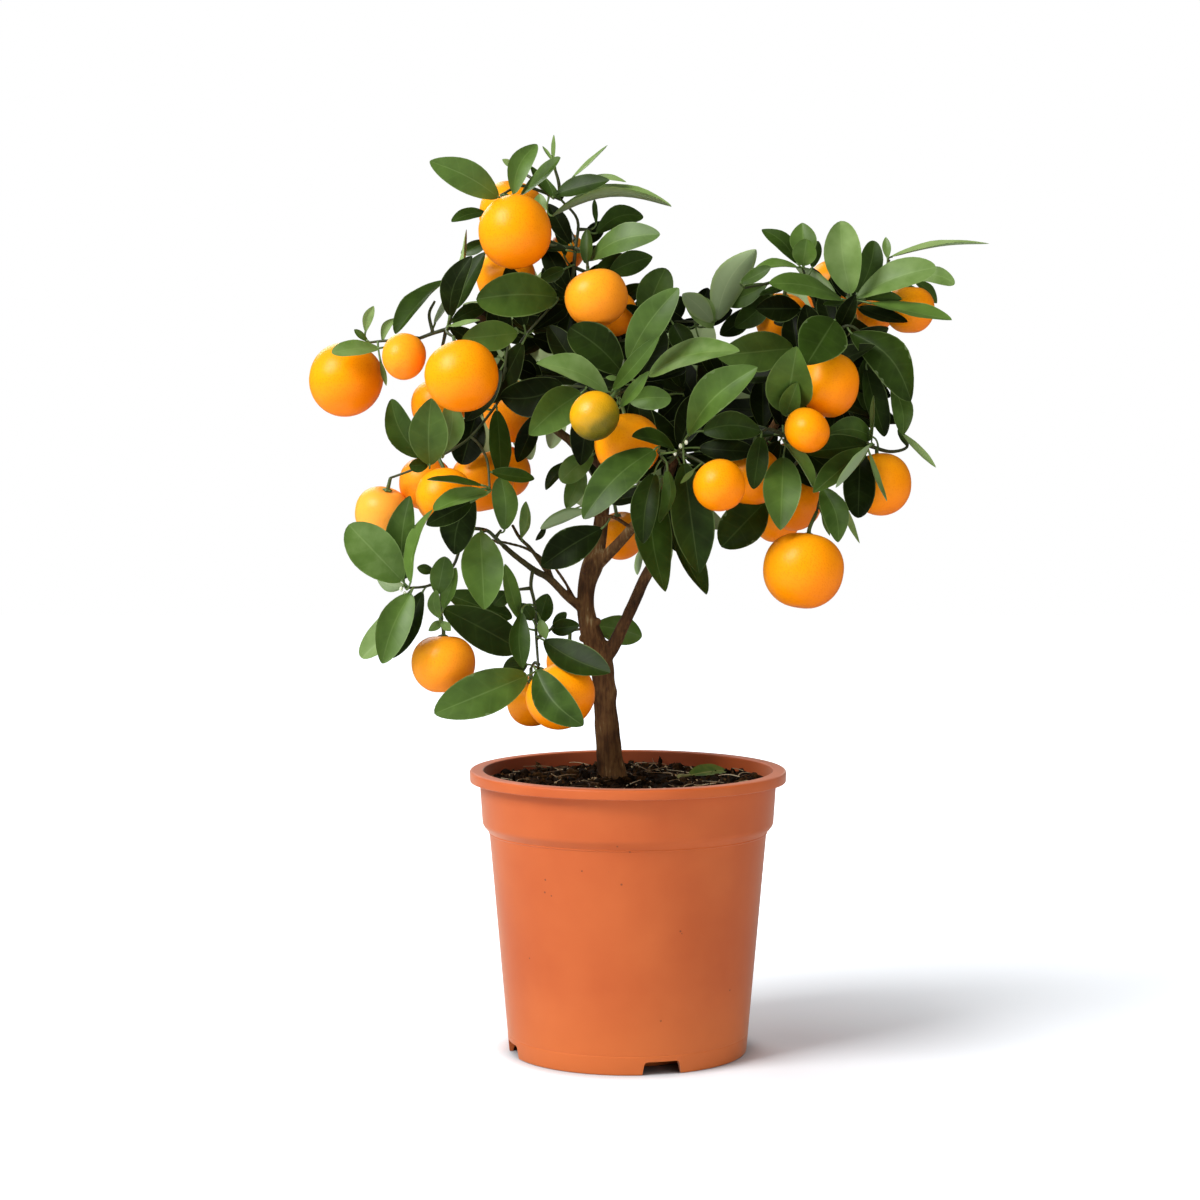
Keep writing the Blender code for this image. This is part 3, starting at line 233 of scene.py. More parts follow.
LEFT_BRANCH = [
    (-23, 237, 0, 2.8), (-33, 245, -5, 2.3), (-42, 254, -9, 2.0), (-50, 258.5, -12, 1.8),
    (-60, 266, -18, 1.6), (-67, 272, -22, 1.5),
]
LEFT_BRANCH_SIDES = [
    [(-38, 250, -7, 1.4), (-45, 260, -3, 1.3), (-52, 270, 1, 1.2), (-58, 276, 5, 1.1),
     (-62, 283, 10, 1.0)],
    [(-50, 258.5, -12, 1.3), (-56, 263, -10, 1.1), (-66, 271.5, -8, 1.0), (-73, 275, -6, 0.9)],
    [(-28, 241, -2, 1.2), (-33, 251, -3, 1.0), (-39, 260, -4, 0.9)],
    [(-40, 252, -8, 1.2), (-44.5, 263, 6, 1.1), (-54, 270, 12, 1.0), (-64, 273, 14, 0.9),
     (-71, 274.5, 10, 0.8)],
]
UPPER_LEFT_BRANCH = [
    (-11, 312, 7, 2.8), (-23, 322, 4, 2.5), (-35, 331, 2, 2.4), (-48, 341, -2, 2.2),
    (-60, 350, -6, 2.0), (-72, 366, -10, 1.9), (-82, 380, -16, 1.7), (-94, 388, -22, 1.5),
]
TOP_BRANCH = [
    (-13.2, 296, 5.5, 3.5), (-12, 310, 7, 3.3), (-10.5, 326, 8, 2.9), (-14, 345, 9, 2.6),
    (-20, 370, 10, 2.4), (-27, 395, 8, 2.1), (-30, 410, 6, 1.9),
]
BRANCHES = {  # each branch: its limbs, and the leaves that sit on its wood
    "right_limb": ([RIGHT_LIMB], []),
    "centre_limb": (
        [CENTRE_LIMB, CENTRE_LIMB_SIDE],
        [(-22, 290, -47, 281, 7, -36, -52, "u", -1, 5),
         (-14, 281, -46.5, 260.5, 21, -24, -22, "m", -1, 1)],
    ),
    "left_branch": (
        [LEFT_BRANCH, *LEFT_BRANCH_SIDES],
        [(-57, 276, -54.5, 295.5, 6.5, 2, -6, "m", -1.5, 6)],
    ),
    "upper_branches": (
        [TOP_BRANCH, UPPER_LEFT_BRANCH],
        [(-19, 320, -36, 306, 14, -6, -12, "r", -1, 6.5),
         (-30, 317, -44, 301.5, 7, -2, -6, "m", -2, 2),
         (-24, 312, -33, 291.5, 12, 0, -4, "m", 0, 6)],
    ),
}

# Fruits: number, (x, z, depth), radius across, radius along the stem, the shoot that bears it,
# and for some the way that the stem end points, as (x, y, z).
FRUITS = [
    (1, (-60, 438.5, -40), 20.0, 19.5, "top_left", None),
    (2, (-62, 448, 24), 18.0, 18.0, "top_left", None),
    (3, (-65, 414, 22), 16.0, 16.0, "top_left", None),
    (4, (-150.7, 360, -10), 20.2, 19.5, "left_upper", (0.17, 0.55, 0.81)),
    (5, (-119.5, 372.5, -45), 12.1, 12.7, "left_upper", (0.1, 0.7, 0.7)),
    (6, (-88.5, 362, -60), 20.0, 19.0, "left_upper", (-0.2, 0.5, 0.8)),
    (7, (-101, 346, -4), 15.0, 15.0, "left_upper", None),
    (8, (-61, 343.5, 30), 17.0, 17.0, "left_mid", None),
    (9, (-65.5, 311, 36), 14.0, 14.0, "left_mid", (-0.58, -0.72, 0.36)),
    (10, (-78, 306, -4), 17.0, 16.5, "left_mid", None),
    (11, (-98, 297.5, -45), 16.0, 15.6, "left_mid", None),
    (12, (-108, 305, 8), 14.5, 14.5, "left_mid", None),
    (13, (-131.5, 289, 0), 14.8, 14.6, "left_mid", None),
    (14, (-99, 208.3, -36), 17.8, 16.2, "left_outer", (0.0, 0.1, 1.0)),
    (15, (-4, 277, 55), 13.0, 13.0, "back_left", None),
    (16, (-36, 190.7, -46), 19.2, 17.0, "bottom", (-0.5, 0.5, 0.7)),
    (17, (-52, 188, 4), 13.5, 13.5, "bottom", None),
    (18, (-32, 209, 26), 12.0, 12.0, "back_low", None),
    (19, (49, 303.8, -66), 14.2, 13.8, "centre_low", (-0.28, 0.69, 0.66)),
    (20, (94, 258.5, -46), 22.3, 21.0, "right_low", (0.15, 0.15, 0.97)),
    (21, (66, 309, -30), 16.0, 16.0, "right_low", None),
    (22, (89, 294, -6), 14.5, 14.5, "right_low", None),
    (23, (79.5, 286, 40), 13.0, 13.0, "back_right", None),
    (24, (135, 304.5, -26), 17.0, 17.0, "right_outer", None),
    (25, (107.5, 357.5, -45), 16.0, 17.8, "right_mid", None),
    (26, (95.7, 333.3, -62), 11.8, 13.3, "right_mid", None),
    (27, (86, 314, 22), 13.0, 13.0, "back_right", None),
    (28, (82, 392, 30), 14.5, 14.5, "right_top_left", None),
    (29, (111, 408, 40), 16.5, 16.5, "right_top", None),
    (31, (150, 397.5, 4), 13.5, 13.0, "right_top", None),
    (32, (132, 396.5, 25), 10.5, 10.5, "right_top", None),
    (33, (-18, 341, -76), 13.5, 13.2, "centre", (0.56, 0.57, 0.6)),
    (34, (-0.5, 325.5, -46), 18.0, 17.0, "centre", (-0.1, 0.3, 0.95)),
    (35, (-17, 403.5, -36), 17.2, 15.5, "top_left", (-0.27, 0.2, 0.94)),
    (36, (-8, 396, 16), 13.0, 13.0, "top_centre", None),
    (37, (-33, 428, 36), 10.0, 10.0, "top_left", None),
]

# Shoots: the twigs of each as (x, z, depth) chains, and its leaves.
# A leaf is (base x, base z, tip x, tip z, width seen, base depth, tip depth, kind, bow, tone):
# kind is m for a mature leaf, r for one with a round tip, y for a young narrow one, and u for
# one that shows its underside; bow is how far its middle swings off the straight line, to the
# left going from base to tip; tone goes from 0, the deepest green, to 10, the palest, and is
# partly the leaf's own green and partly painted light and shade: darker where the leaf lies in
# shade, paler where light falls on it.
SHOOTS = {
    "top_left": (
        [
            [(-30, 410, 6), (-28, 430, 5), (-27, 445, 4), (-36, 456, 1)],
            [(-36, 456, 1), (-46, 460, -10), (-57, 463, -24), (-68, 458, -32)],
            [(-36, 456, 1), (-37, 465, -2), (-39, 472, -3), (-40, 476, -4)],
            [(-36, 456, 1), (-30, 465, -4), (-20, 467.5, -6)],
            [(-28, 430, 5), (-45, 432, 1), (-60, 434, -3), (-74, 434, 0)],
            [(-42, 458, -5), (-50, 466, 10), (-58, 471, 16)],
            [(-28, 430, 5), (-24, 428, -12), (-22, 424, -26), (-21.5, 420, -34)],
            [(-29, 420, 6), (-18, 416, 12), (-8, 415, 16)],
            [(-27, 440, 4), (-20, 440, 8)],
            [(-28, 433, 5), (-31, 440, 24)],
        ],
        [
            (-69, 457, -105.5, 476, 17.5, -36, -50, "m", -2, 5.5),
            (-61, 459, -48.5, 485, 12.5, -32, -28, "m", 3.5, 6),
            (-76, 449, -94, 444, 7, -10, -22, "m", -1.7, 3),
            (-57, 458, -36, 478, 6, -34, -42, "m", 0, 4.5),
            (-40, 457, -52, 473.5, 6, -12, -8, "m", 1, 3),
            (-36, 456, -48, 469, 5, -2, -6, "m", 0, 7),
            (-38, 459, -10, 466, 10.5, -4, -14, "m", 1, 3),
            (-29, 468, -11, 484.5, 2.5, -6, -12, "y", 0, 7),
            (-18, 468, -1, 465, 3.5, -6, -10, "y", 1, 8),
            (-40, 447, 23, 452, 4, -4, -22, "m", 9.5, 8),
            (-47, 446, -47, 459, 8, 6, 10, "y", 0, 7),
            (-40, 476, -39.5, 490, 2.5, -4, -6, "y", 0, 7),
            (-40, 476, -45.5, 484, 2, -4, -2, "y", 0, 7),
            (-60, 473, -67, 477, 4, 14, 12, "y", 0, 8),
            (-74, 434, -89, 427, 8, 2, 4, "m", 0, 4),
            (-17, 438, 8, 447, 12, 10, 22, "m", 4.5, 3),
            (-21, 424, 17, 437.5, 14, -24, -44, "m", 5, 5),
            (-22, 422, -22, 440, 7, -28, -24, "m", 0, 4),
            (-10, 417, 13, 425.5, 14, 14, 18, "m", 1, 3),
            (-34, 426, -38, 448, 7, 8, 14, "m", 0, 3),
            (-34, 419, -47, 413, 8, 2, -6, "m", 0, 3),
            (-17, 443, -18, 456, 3, 8, 8, "m", 0, 4),
            (-18, 418, 2, 423, 12, 16, 22, "m", 1, 2),
        ],
    ),
    "top_centre": (
        [
            [(-20, 370, 10), (-4, 380, 22), (10, 388, 26), (22, 391, 22), (44, 391, 18)],
            [(-4, 380, 22), (-6, 390, 32)],
        ],
        [
            (9, 392, 20, 419.5, 20, 18, 10, "r", 1, 4),
            (45, 391, 29, 406, 12, 14, -4, "u", -1, 9),
            (47, 392, 68, 429.5, 19, 16, 6, "u", 4.5, 10.2),
            (45, 388, 30, 405, 14, 20, 12, "m", -2, 7),
            (24, 390, 34, 372, 14, 14, 6, "m", 0, 2),
            (-8, 400, 8, 411, 11, 22, 26, "m", 0, 2),
        ],
    ),
    "centre": (
        [
            [(-14, 345, 9), (-9, 351, -8), (-7, 353, -28), (-5, 351, -48)],
            [(-5, 351, -48), (-4, 361, -52), (-2, 371, -52)],
            [(-8, 353, -22), (-20, 356, -28), (-34, 357, -30)],
            [(-7, 352, -30), (4, 358, -36), (11, 362, -42)],
        ],
        [
            (0, 371, 27, 409, 18.5, -54, -66, "m", 2.5, 4.6),
            (-8, 355, 17, 384, 9.5, -58, -80, "y", 0, 4.7),
            (-4, 346, 11, 365, 7, -62, -76, "y", 0, 5.5),
            (1, 349, 23, 350.5, 13, -58, -68, "r", 1, 5.5),
            (-11, 354, -49, 369, 14.5, -60, -76, "m", -4, 6.9),
            (-5, 361, -12, 361.5, 3, -54, -56, "y", 0, 7),
            (-3, 364, -31, 388, 22, -40, -30, "r", -2, 1.8),
            (-25, 353, -53, 331, 22, -44, -62, "m", -1.5, 5),
            (11, 363, 59.5, 375.5, 14.5, -46, -70, "m", 5.5, 6.6),
            (-35, 357, -68, 351, 22, -28, -22, "m", 3, 0.8),
            (30, 352, 16, 338, 13, 24, 26, "m", 0, 0),
        ],
    ),
    "centre_low": (
        [
            [(26, 320, -36), (27, 322, -39), (29, 326, -43), (32, 330, -46)],
            [(27, 322, -39), (21, 316, -46), (16, 322, -56)],
            [(21, 316, -46), (19, 309, -42)],
            [(27, 322, -39), (31, 314, -36), (30, 302, -26)],
            [(27, 322, -39), (36, 318, -46), (43, 314, -54)],
        ],
        [
            (32, 331, 69, 367, 20, -48, -78, "m", 5, 5.5),
            (25, 323, 2, 330, 8.5, -64, -86, "m", -2.5, 2),
            (14, 323, -24, 286, 20, -70, -88, "m", -4, 3.8),
            (14, 310, 8, 273, 15, -52, -62, "m", -2, 2.2),
            (14, 306, 20, 247, 20, -40, -44, "m", -3, 3),
            (30, 316, 38, 257, 24, -50, -56, "m", 0, 2.5),
            (30, 300, 42, 245.5, 16.5, -22, -18, "m", -6, 2),
            (35, 312, 28, 305, 3, -54, -60, "y", 0, 7),
            (40, 333, 71, 333, 16, -38, -44, "m", 3, 3),
            (38, 324, 68, 322, 12, -36, -28, "m", 0, 0.6),
            (21, 312, 17, 284, 8, -56, -60, "m", 3, 5),
            (8, 272, 5, 256, 4, -40, -38, "u", 0, 9),
            (-44, 283.5, -49.5, 274.5, 3.5, -6, -4, "m", 1, 1),
        ],
    ),
    "left_upper": (
        [
            [(-94, 388, -22), (-104, 385, -24), (-116, 381, -20), (-129, 381, -10), (-139, 380, -3)],
            [(-95.5, 387.6, -22.2), (-95, 392, -27), (-93, 396, -27)],
            [(-104, 385, -24), (-106, 395, -22), (-103, 402, -20)],
            [(-97, 387, -22), (-99, 378, -18), (-102, 366, -12)],
            [(-95, 392, -27), (-94, 402, -14), (-94, 412, -8)],
            [(-97, 387, -22), (-96, 385, -36), (-93, 383, -44)],
        ],
        [
            (-92, 398, -76, 428, 11, -24, -34, "m", 1.5, 2.1),
            (-95, 394, -83, 426, 13, -32, -44, "m", 4, 0.6),
            (-103, 390, -86, 440, 4.5, -20, -16, "m", -4, 10.5),
            (-97, 413, -124, 384.5, 9, -8, -30, "m", -3, 3),
            (-95, 389, -79, 392, 3, -36, -52, "y", 0, 7),
            (-133, 377, -158, 374.5, 8.5, -24, -36, "r", -1.5, 7),
            (-131, 381, -124, 393, 5, -8, -4, "y", 2, 7),
            (-140, 386, -135.5, 399.5, 6, -2, 0, "y", 1, 8),
            (-139, 381, -146, 387, 4, -4, -4, "m", 0, 4),
            (-132, 370, -129, 357, 3, -8, -10, "y", 0, 7),
            (-94, 391, -76, 399, 9, -18, -12, "m", 1, 3),
        ],
    ),
    "left_mid": (
        [
            [(-66, 358, -8), (-68, 351, -11), (-74, 342, -16), (-84, 330, -22), (-94, 323, -28),
             (-106, 317, -28), (-116, 312, -18), (-127, 308, -6)],
            [(-68, 351, -11), (-66, 352, 6), (-61, 364, 25)],
            [(-84, 330, -22), (-82, 327, 0), (-80, 320, 19)],
            [(-84, 330, -22), (-79, 325, -30), (-75, 316, -42), (-74, 302, -54)],
            [(-106, 317, -28), (-106, 323, -12), (-107, 324, 4)],
            [(-68, 351, -11), (-66, 364, -22), (-64, 378, -24), (-60, 388, -26)],
            [(-66, 364, -22), (-56, 382, -20), (-42, 398, -16)],
        ],
        [
            (-110, 319, -126.5, 350, 16, -22, -26, "m", 3.5, 4),
            (-106, 315, -105, 350.5, 22, -38, -46, "m", 1, 4.4),
            (-98, 322, -94, 350, 14, -38, -40, "m", -2, 6.6),
            (-107, 315, -117, 314.5, 8, -36, -40, "r", 0, 2),
            (-70, 344, -68, 306, 12.5, -22, -30, "m", 1, 3),
            (-73, 311, -50, 307.5, 8, -46, -40, "m", 0, 3),
            (-81, 342, -89, 315, 19, -14, -14, "r", 0, 0),
            (-78, 304, -107.5, 307, 4.5, -60, -76, "m", -1, 3),
            (-75, 300, -104, 290.5, 10, -60, -76, "r", -2, 6),
            (-83, 298, -93, 267, 19, -64, -56, "m", -3, 1),
            (-59, 385, -88.5, 382, 16.5, -30, -56, "m", 0, 6),
            (-38, 404, -81, 403, 25, -20, -44, "r", -2, 4),
            (-84, 295, -108, 283, 12, -58, -50, "m", 0, 1),
        ],
    ),
    "left_outer": (
        [
            [(-67, 272, -22), (-71, 276, -24.5), (-76, 280, -27), (-85, 280, -31), (-90, 270, -35),
             (-93, 262, -38), (-99, 254, -40), (-108, 250, -42), (-119, 249, -44)],
            [(-99, 254, -40), (-100, 244, -40), (-100, 236, -38), (-99.5, 229, -36)],
            [(-76, 280, -27), (-78, 279, -38)],
            [(-71, 276, -24.5), (-68, 280, -28)],
        ],
        [
            (-121, 253, -149.5, 283, 25, -48, -60, "r", 0, 6.4),
            (-120, 254, -116.5, 298.5, 17, -46, -52, "m", 3, 3.5),
            (-116.5, 252, -104.5, 291, 7.5, -48, -56, "m", 4.5, 6),
            (-116.5, 246, -132, 208.5, 19, -50, -60, "m", -2, 6),
            (-118, 246, -143, 211.5, 14, -46, -46, "r", 2, 6.9),
            (-110, 247, -126, 211.5, 14, -38, -36, "m", 0, 1.6),
            (-120, 250, -135, 256, 8, -40, -34, "u", 2, 7),
            (-104, 258, -113, 260, 6, -34, -34, "m", 0, 3),
            (-102, 246, -98, 266, 13, -46, -50, "r", 0, 5),
            (-99, 238, -92, 260, 8, -44, -50, "m", 0, 6),
            (-101, 233, -103, 248, 7, -46, -50, "m", 2, 6),
            (-100, 231, -107, 226, 5, -40, -44, "y", 0, 7),
            (-100, 231, -95, 226, 5, -40, -44, "y", 0, 7),
            (-79, 279, -77, 237.5, 23.5, -42, -54, "m", 0, 5.7),
            (-66, 280.5, -68, 308.5, 14.5, -30, -36, "r", -1.5, 4.6),
            (-99, 238, -58, 216, 22, -20, -14, "r", 0.5, 2.5),
            (-97, 246, -62, 233, 15, -10, -8, "m", 0, 3),
        ],
    ),
    "bottom": (
        [
            [(-51, 259, -13), (-52, 250, -20), (-50, 240, -25), (-49, 220, -29), (-48, 206, -34)],
            [(-52, 249, -20), (-61, 248, -22)],
            [(-49, 222, -28), (-44, 225, -22), (-40, 228, -16)],
            [(-48, 208, -33), (-50, 209, -16), (-52, 206, -4)],
        ],
        [
            (-49, 204.5, -24, 175, 20, -58, -74, "m", -3.5, 3.4),
            (-54, 202, -104, 181.5, 24.5, -42, -62, "m", 0, 5),
            (-57, 236, -56.5, 206, 12, -44, -50, "m", -1.5, 2.8),
            (-58, 232, -66, 262, 9, -30, -34, "m", 0, 5.6),
            (-45, 221, -9.5, 203.5, 17.5, -34, -44, "m", -1.5, 1.8),
            (-48, 230, -43, 246, 12, -22, -20, "m", 0, 3),
            (-40, 229, -33, 236, 6, -14, -12, "m", 0, 3),
            (-41, 227, -26, 229, 10, -14, -12, "m", 0, 3),
            (-47, 232, -44, 221.5, 6, -34, -38, "y", 0, 7),
            (-51, 232, -57, 241, 8, -30, -34, "m", 0, 3),
            (-54, 208, -67, 206, 12, -8, -8, "m", 0, 3),
            (-65, 247, -72, 240, 10, -24, -24, "m", 0, 3),
        ],
    ),
    "back_low": (
        [
            [(-18, 221, 0), (-20, 224, 11), (-24, 227, 18), (-31, 226, 24)],
            [(-20, 224, 11), (-18, 230, 17)],
        ],
        [(-18, 229, 7.5, 223, 17, 20, 26, "m", 1, 6)],
    ),
    "right_top": (
        [
            [(118, 395, -2), (119, 399, -4), (119, 403, -8)],
            [(119, 399, -4), (128, 404, 2), (140, 411, 6), (150, 413.5, 4)],
            [(119, 399, -4), (115, 414, 14), (112, 428, 34)],
            [(128, 404, 2), (132, 411, 22), (133, 413, 36)],
            [(128, 404, 2), (135, 415, 4), (139, 424, 2)],
        ],
        [
            (122, 404, 164, 420, 15, -12, -26, "r", 3.3, 6.6),
            (151, 414, 174, 411.5, 9, 0, -8, "r", 3.5, 7),
            (118.5, 406, 113, 444.5, 22, -16, -22, "r", 1.5, 7),
            (122, 406, 131, 434, 13.5, -10, -8, "r", -2, 3),
            (138, 425, 137, 436, 5, 4, 6, "y", 0, 7),
            (140, 425.5, 192, 432.5, 3.2, -2, -14, "y", 3, 8),
            (114, 403, 75, 411.5, 10.5, -16, -40, "m", -4, 5),
            (111, 403, 89, 420, 9, 0, 6, "u", 0, 6),
            (117, 401, 104, 400, 4, -12, -22, "m", 0, 4),
            (129, 401, 172.5, 392, 7, -18, -40, "m", 1, 6),
            (126, 403, 146, 403, 6, -12, -18, "m", 1, 4),
            (152, 413, 164.5, 401, 6, 8, 14, "m", 2, 4),
        ],
    ),
    "right_top_left": (
        [
            [(112, 383, 2), (103, 392, 10), (97, 407, 6), (93, 419, -3)],
            [(97, 407, 6), (84, 413, 6), (72, 411, 0), (62, 409, -6)],
            [(101, 397, 9), (94, 399, -8)],
            [(90, 410.5, 6), (84, 412, 22)],
        ],
        [
            (90, 422, 71, 440, 9.5, -2, 6, "m", -3.3, 3),
            (94, 424, 92.5, 443.5, 15.5, -2, 6, "m", 0, 6),
            (93, 421, 95, 435, 14, -10, -18, "r", 0, 6),
            (98, 420, 101, 434, 7, 2, 6, "m", 0, 3),
            (90, 420, 66, 417, 5.5, -6, -12, "m", -3, 6.5),
            (60, 412, 76, 420, 7, -8, -14, "m", 0, 3.8),
            (84, 410, 70, 405, 5, -2, -8, "m", 0, 4),
            (92, 398, 68, 398, 16, -12, -18, "m", 0, 0),
            (74, 411, 50, 401, 12, 12, 20, "m", 1, 4),
            (76, 405, 57, 388, 14, 16, 24, "m", 1, 3),
            (66, 398, 49, 384, 12, 26, 30, "m", 1, 1),
        ],
    ),
    "right_mid": (
        [
            [(100, 365, 6), (101, 370, -10), (104, 380, -24), (110, 389, -36)],
            [(101, 370, -10), (109, 383, -14), (118, 389, -20), (128, 380, -18), (138, 360, -14)],
            [(101, 370, -10), (92, 364, -14), (86, 352, -26), (84, 345, -38), (85, 342, -46)],
        ],
        [
            (110, 392, 95, 368, 28, -40, -68, "m", 0, 2.7),
            (119, 385, 151, 349, 23, -22, -34, "m", 6.5, 2.5),
            (141, 357, 147, 331, 11.5, -14, -18, "m", 2.5, 4.2),
            (127, 372, 127, 344, 11, -18, -18, "m", 0, 3),
            (127, 366, 137, 330, 13, -8, -6, "m", 0, 2),
            (88, 377, 47, 373, 23, -8, -20, "m", 0, 4.6),
            (84, 343, 90, 378, 26, -40, -46, "m", 0, 5),
            (84, 341, 90.5, 359, 11.5, -54, -62, "m", 0, 4.5),
        ],
    ),
    "right_low": (
        [
            [(72, 326, 7), (77, 331, -8), (83, 331, -26), (84, 327, -32)],
            [(83, 331, -26), (75, 334, -28), (68, 331, -30)],
            [(84, 327, -32), (95, 317, -32), (103, 304, -34), (101, 290, -38)],
            [(95, 317, -32), (90, 316, -22), (81, 306, -20), (72, 298, -6)],
        ],
        [
            (73, 295, 50, 271, 25, -10, -20, "r", 0, 2),
            (83, 319, 81.5, 280, 21, -40, -62, "m", 0, 5),
            (104, 302, 112.5, 273.5, 14.5, -42, -50, "m", 3, 4),
            (104, 288, 108, 277, 3, -40, -44, "y", 0, 7),
            (114, 296, 124, 273, 4, -32, -26, "y", 0, 7),
            (84, 326, 99, 302.5, 7, -48, -58, "m", 2, 6.8),
            (71, 330, 67, 302, 12, -42, -50, "m", 0, 1.8),
        ],
    ),
    "right_outer": (
        [
            [(100, 365, 6), (113, 350, -2), (123, 336, -12), (129, 325, -20)],
            [(129, 325, -20), (140, 322, -18), (149, 324.5, -17), (147, 332, -18)],
        ],
        [
            (130, 330, 105, 331, 14, -22, -34, "m", -3.5, 4),
            (124, 322, 123, 286.5, 18, -36, -48, "r", 0, 1),
            (128, 324, 99, 300, 13, -46, -62, "m", -1, 3.4),
            (128, 326, 93, 322, 13, -32, -44, "m", 0, 2.2),
            (129, 321, 138.5, 295.5, 3, -42, -50, "y", -1, 7),
            (149, 325, 144, 334, 3, -16, -14, "m", 0, 4),
            (146, 332, 164.5, 313.5, 4, -18, -26, "y", 0, 9),
            (129, 325, 111, 303, 3, -54, -62, "u", 0.5, 9),
            (130, 326, 131, 352, 2.2, -24, -20, "y", 0, 7),
        ],
    ),
    "back_left": (
        [
            [(-13, 296, 5), (-16, 304, 30), (-26, 320, 52), (-44, 338, 70), (-64, 352, 84)],
            [(-16, 304, 30), (-8, 298, 46)],
            [(-26, 320, 52), (-33, 354, 72), (-46, 384, 84)],
            [(-44, 338, 70), (-62, 336, 66), (-80, 346, 70)],
        ],
        [],
    ),
    "back_right": (
        [
            [(40, 291, -2), (46, 302, 26), (56, 322, 52), (76, 342, 72)],
            [(56, 322, 52), (42, 340, 74), (30, 356, 86)],
            [(76, 342, 72), (92, 362, 76), (96, 380, 72)],
            [(50, 310, 36), (66, 304, 42), (80, 303, 42)],
            [(46, 302, 26), (26, 300, 44), (10, 302, 60)],
        ],
        [],
    ),
}
FALLEN_LEAF = (33, 148.3, 53, 151, 7, 12, 30, "m", 1, 2)
FALLEN_LEAF_STEM = (27.5, 145.8, -10)
BACK_ROSETTES = {  # at (x, z, depth): how many leaves, and their length
    "back_left": [
        (-64, 352, 84, 6, 34), (-46, 384, 84, 7, 46), (-80, 346, 70, 6, 32), (-33, 354, 72, 5, 28),
    ],
    "back_right": [
        (76, 342, 72, 7, 46), (30, 356, 86, 7, 48), (96, 380, 72, 7, 44), (10, 302, 60, 6, 44),
    ],
}
INNER_ROSETTES = {  # the dark leaves inside the crown, which fill it from behind
    "upper_branches": [
        (-14, 345, 9, 5, 34), (-18, 362, 10, 6, 38), (-24, 385, 9, 6, 38), (-29, 403, 6, 5, 30),
        (-46, 347, -2, 4, 28),
    ],
    "right_limb": [
        (60, 312, 4, 4, 30), (72, 330, 8, 6, 36), (84, 345, 8, 7, 40), (94, 358, 7, 6, 38),
        (100, 368, 6, 5, 34),
    ],
    "centre_limb": [(18, 302, -24, 5, 30), (26, 320, -36, 6, 38)],
    "top_left": [(-28, 428, 5, 5, 26)],
    "back_left": [(-43, 378, 82, 7, 44)],
    "back_right": [(40, 343, 75, 7, 44)],
    "top_centre": [
        (-4, 378, 22, 7, 36), (10, 384, 26, 6, 30), (20, 384, 22, 4, 24), (36, 386, 20, 4, 26),
    ],
    "centre": [(-8, 352, -20, 6, 38), (4, 358, -36, 5, 36), (-20, 356, -28, 5, 36)],
    "left_mid": [(-65, 370, -23, 5, 32), (-54, 384, -20, 5, 34)],
    "right_top": [(118, 400, 0, 4, 26)],
    "right_top_left": [(103, 396, 10, 5, 28)],
    "right_mid": [(101, 370, -12, 6, 36), (92, 364, -14, 6, 36), (110, 383, -16, 5, 26)],
    "right_low": [(83, 331, -26, 5, 34)],
    "right_outer": [(112, 349, -3, 5, 28)],
}

print("fruits:", len(FRUITS), "shoots:", len(SHOOTS))

# %% [markdown]
# ## The mesh tools
#
# Every surface here closes on itself across: a tube's ring, a leaf's section, a fruit's circle of
# latitude. So each is one grid of rows and columns whose last column joins the first, and its
# ends shrink to a point. One function makes the quads, one turns them outwards, and one joins
# many such parts to a piece.


# %% Grids, joined parts and meshes
def grid_quads(rows, columns):
    """Quads between neighbouring rows of rows x columns points, the last column joined to the
    first."""
    near = np.arange(columns)
    far = (near + 1) % columns
    start = np.arange(rows - 1)[:, None] * columns
    corners = [start + near, start + far, start + columns + far, start + columns + near]
    return np.stack(corners, -1).reshape(-1, 4)


def faced_out(points, quads):
    """The quads, turned round where they enclose a negative volume: the sum over the triangles
    of each quad of a dot b cross c, a sixth of which is a tetrahedron from the middle."""
    a, b, c, d = (points[quads[:, k]] - points.mean(0) for k in range(4))
    volume = (a * (np.cross(b, c) + np.cross(c, d))).sum()
    return quads if volume > 0 else quads[:, ::-1]


def part(grid, uv=None, tone=None):
    """One closed part: its rows x columns x 3 grid, a map and a tone for each point."""
    rows, columns = grid.shape[:2]
    points = grid.reshape(-1, 3)
    uv = np.zeros((len(points), 2)) if uv is None else uv.reshape(-1, 2)
    tone = np.zeros((len(points), 4)) if tone is None else np.broadcast_to(tone, (len(points), 4))
    return points, faced_out(points, grid_quads(rows, columns)), uv, tone


def shaded_part(grid, shade):
    """A closed part with one shade all over, in the first channel of its tone."""
    return part(grid, tone=np.array([shade, 0, 0, 1]))


def joined(parts):
    """Many parts as one: their points in a row, and their quads counted on from there."""
    points, quads, uv, tone = zip(*parts)
    starts = np.cumsum([0] + [len(rows) for rows in points[:-1]])
    quads = [rows + start for rows, start in zip(quads, starts)]
    return tuple(np.vstack(rows) for rows in (points, quads, uv, tone))


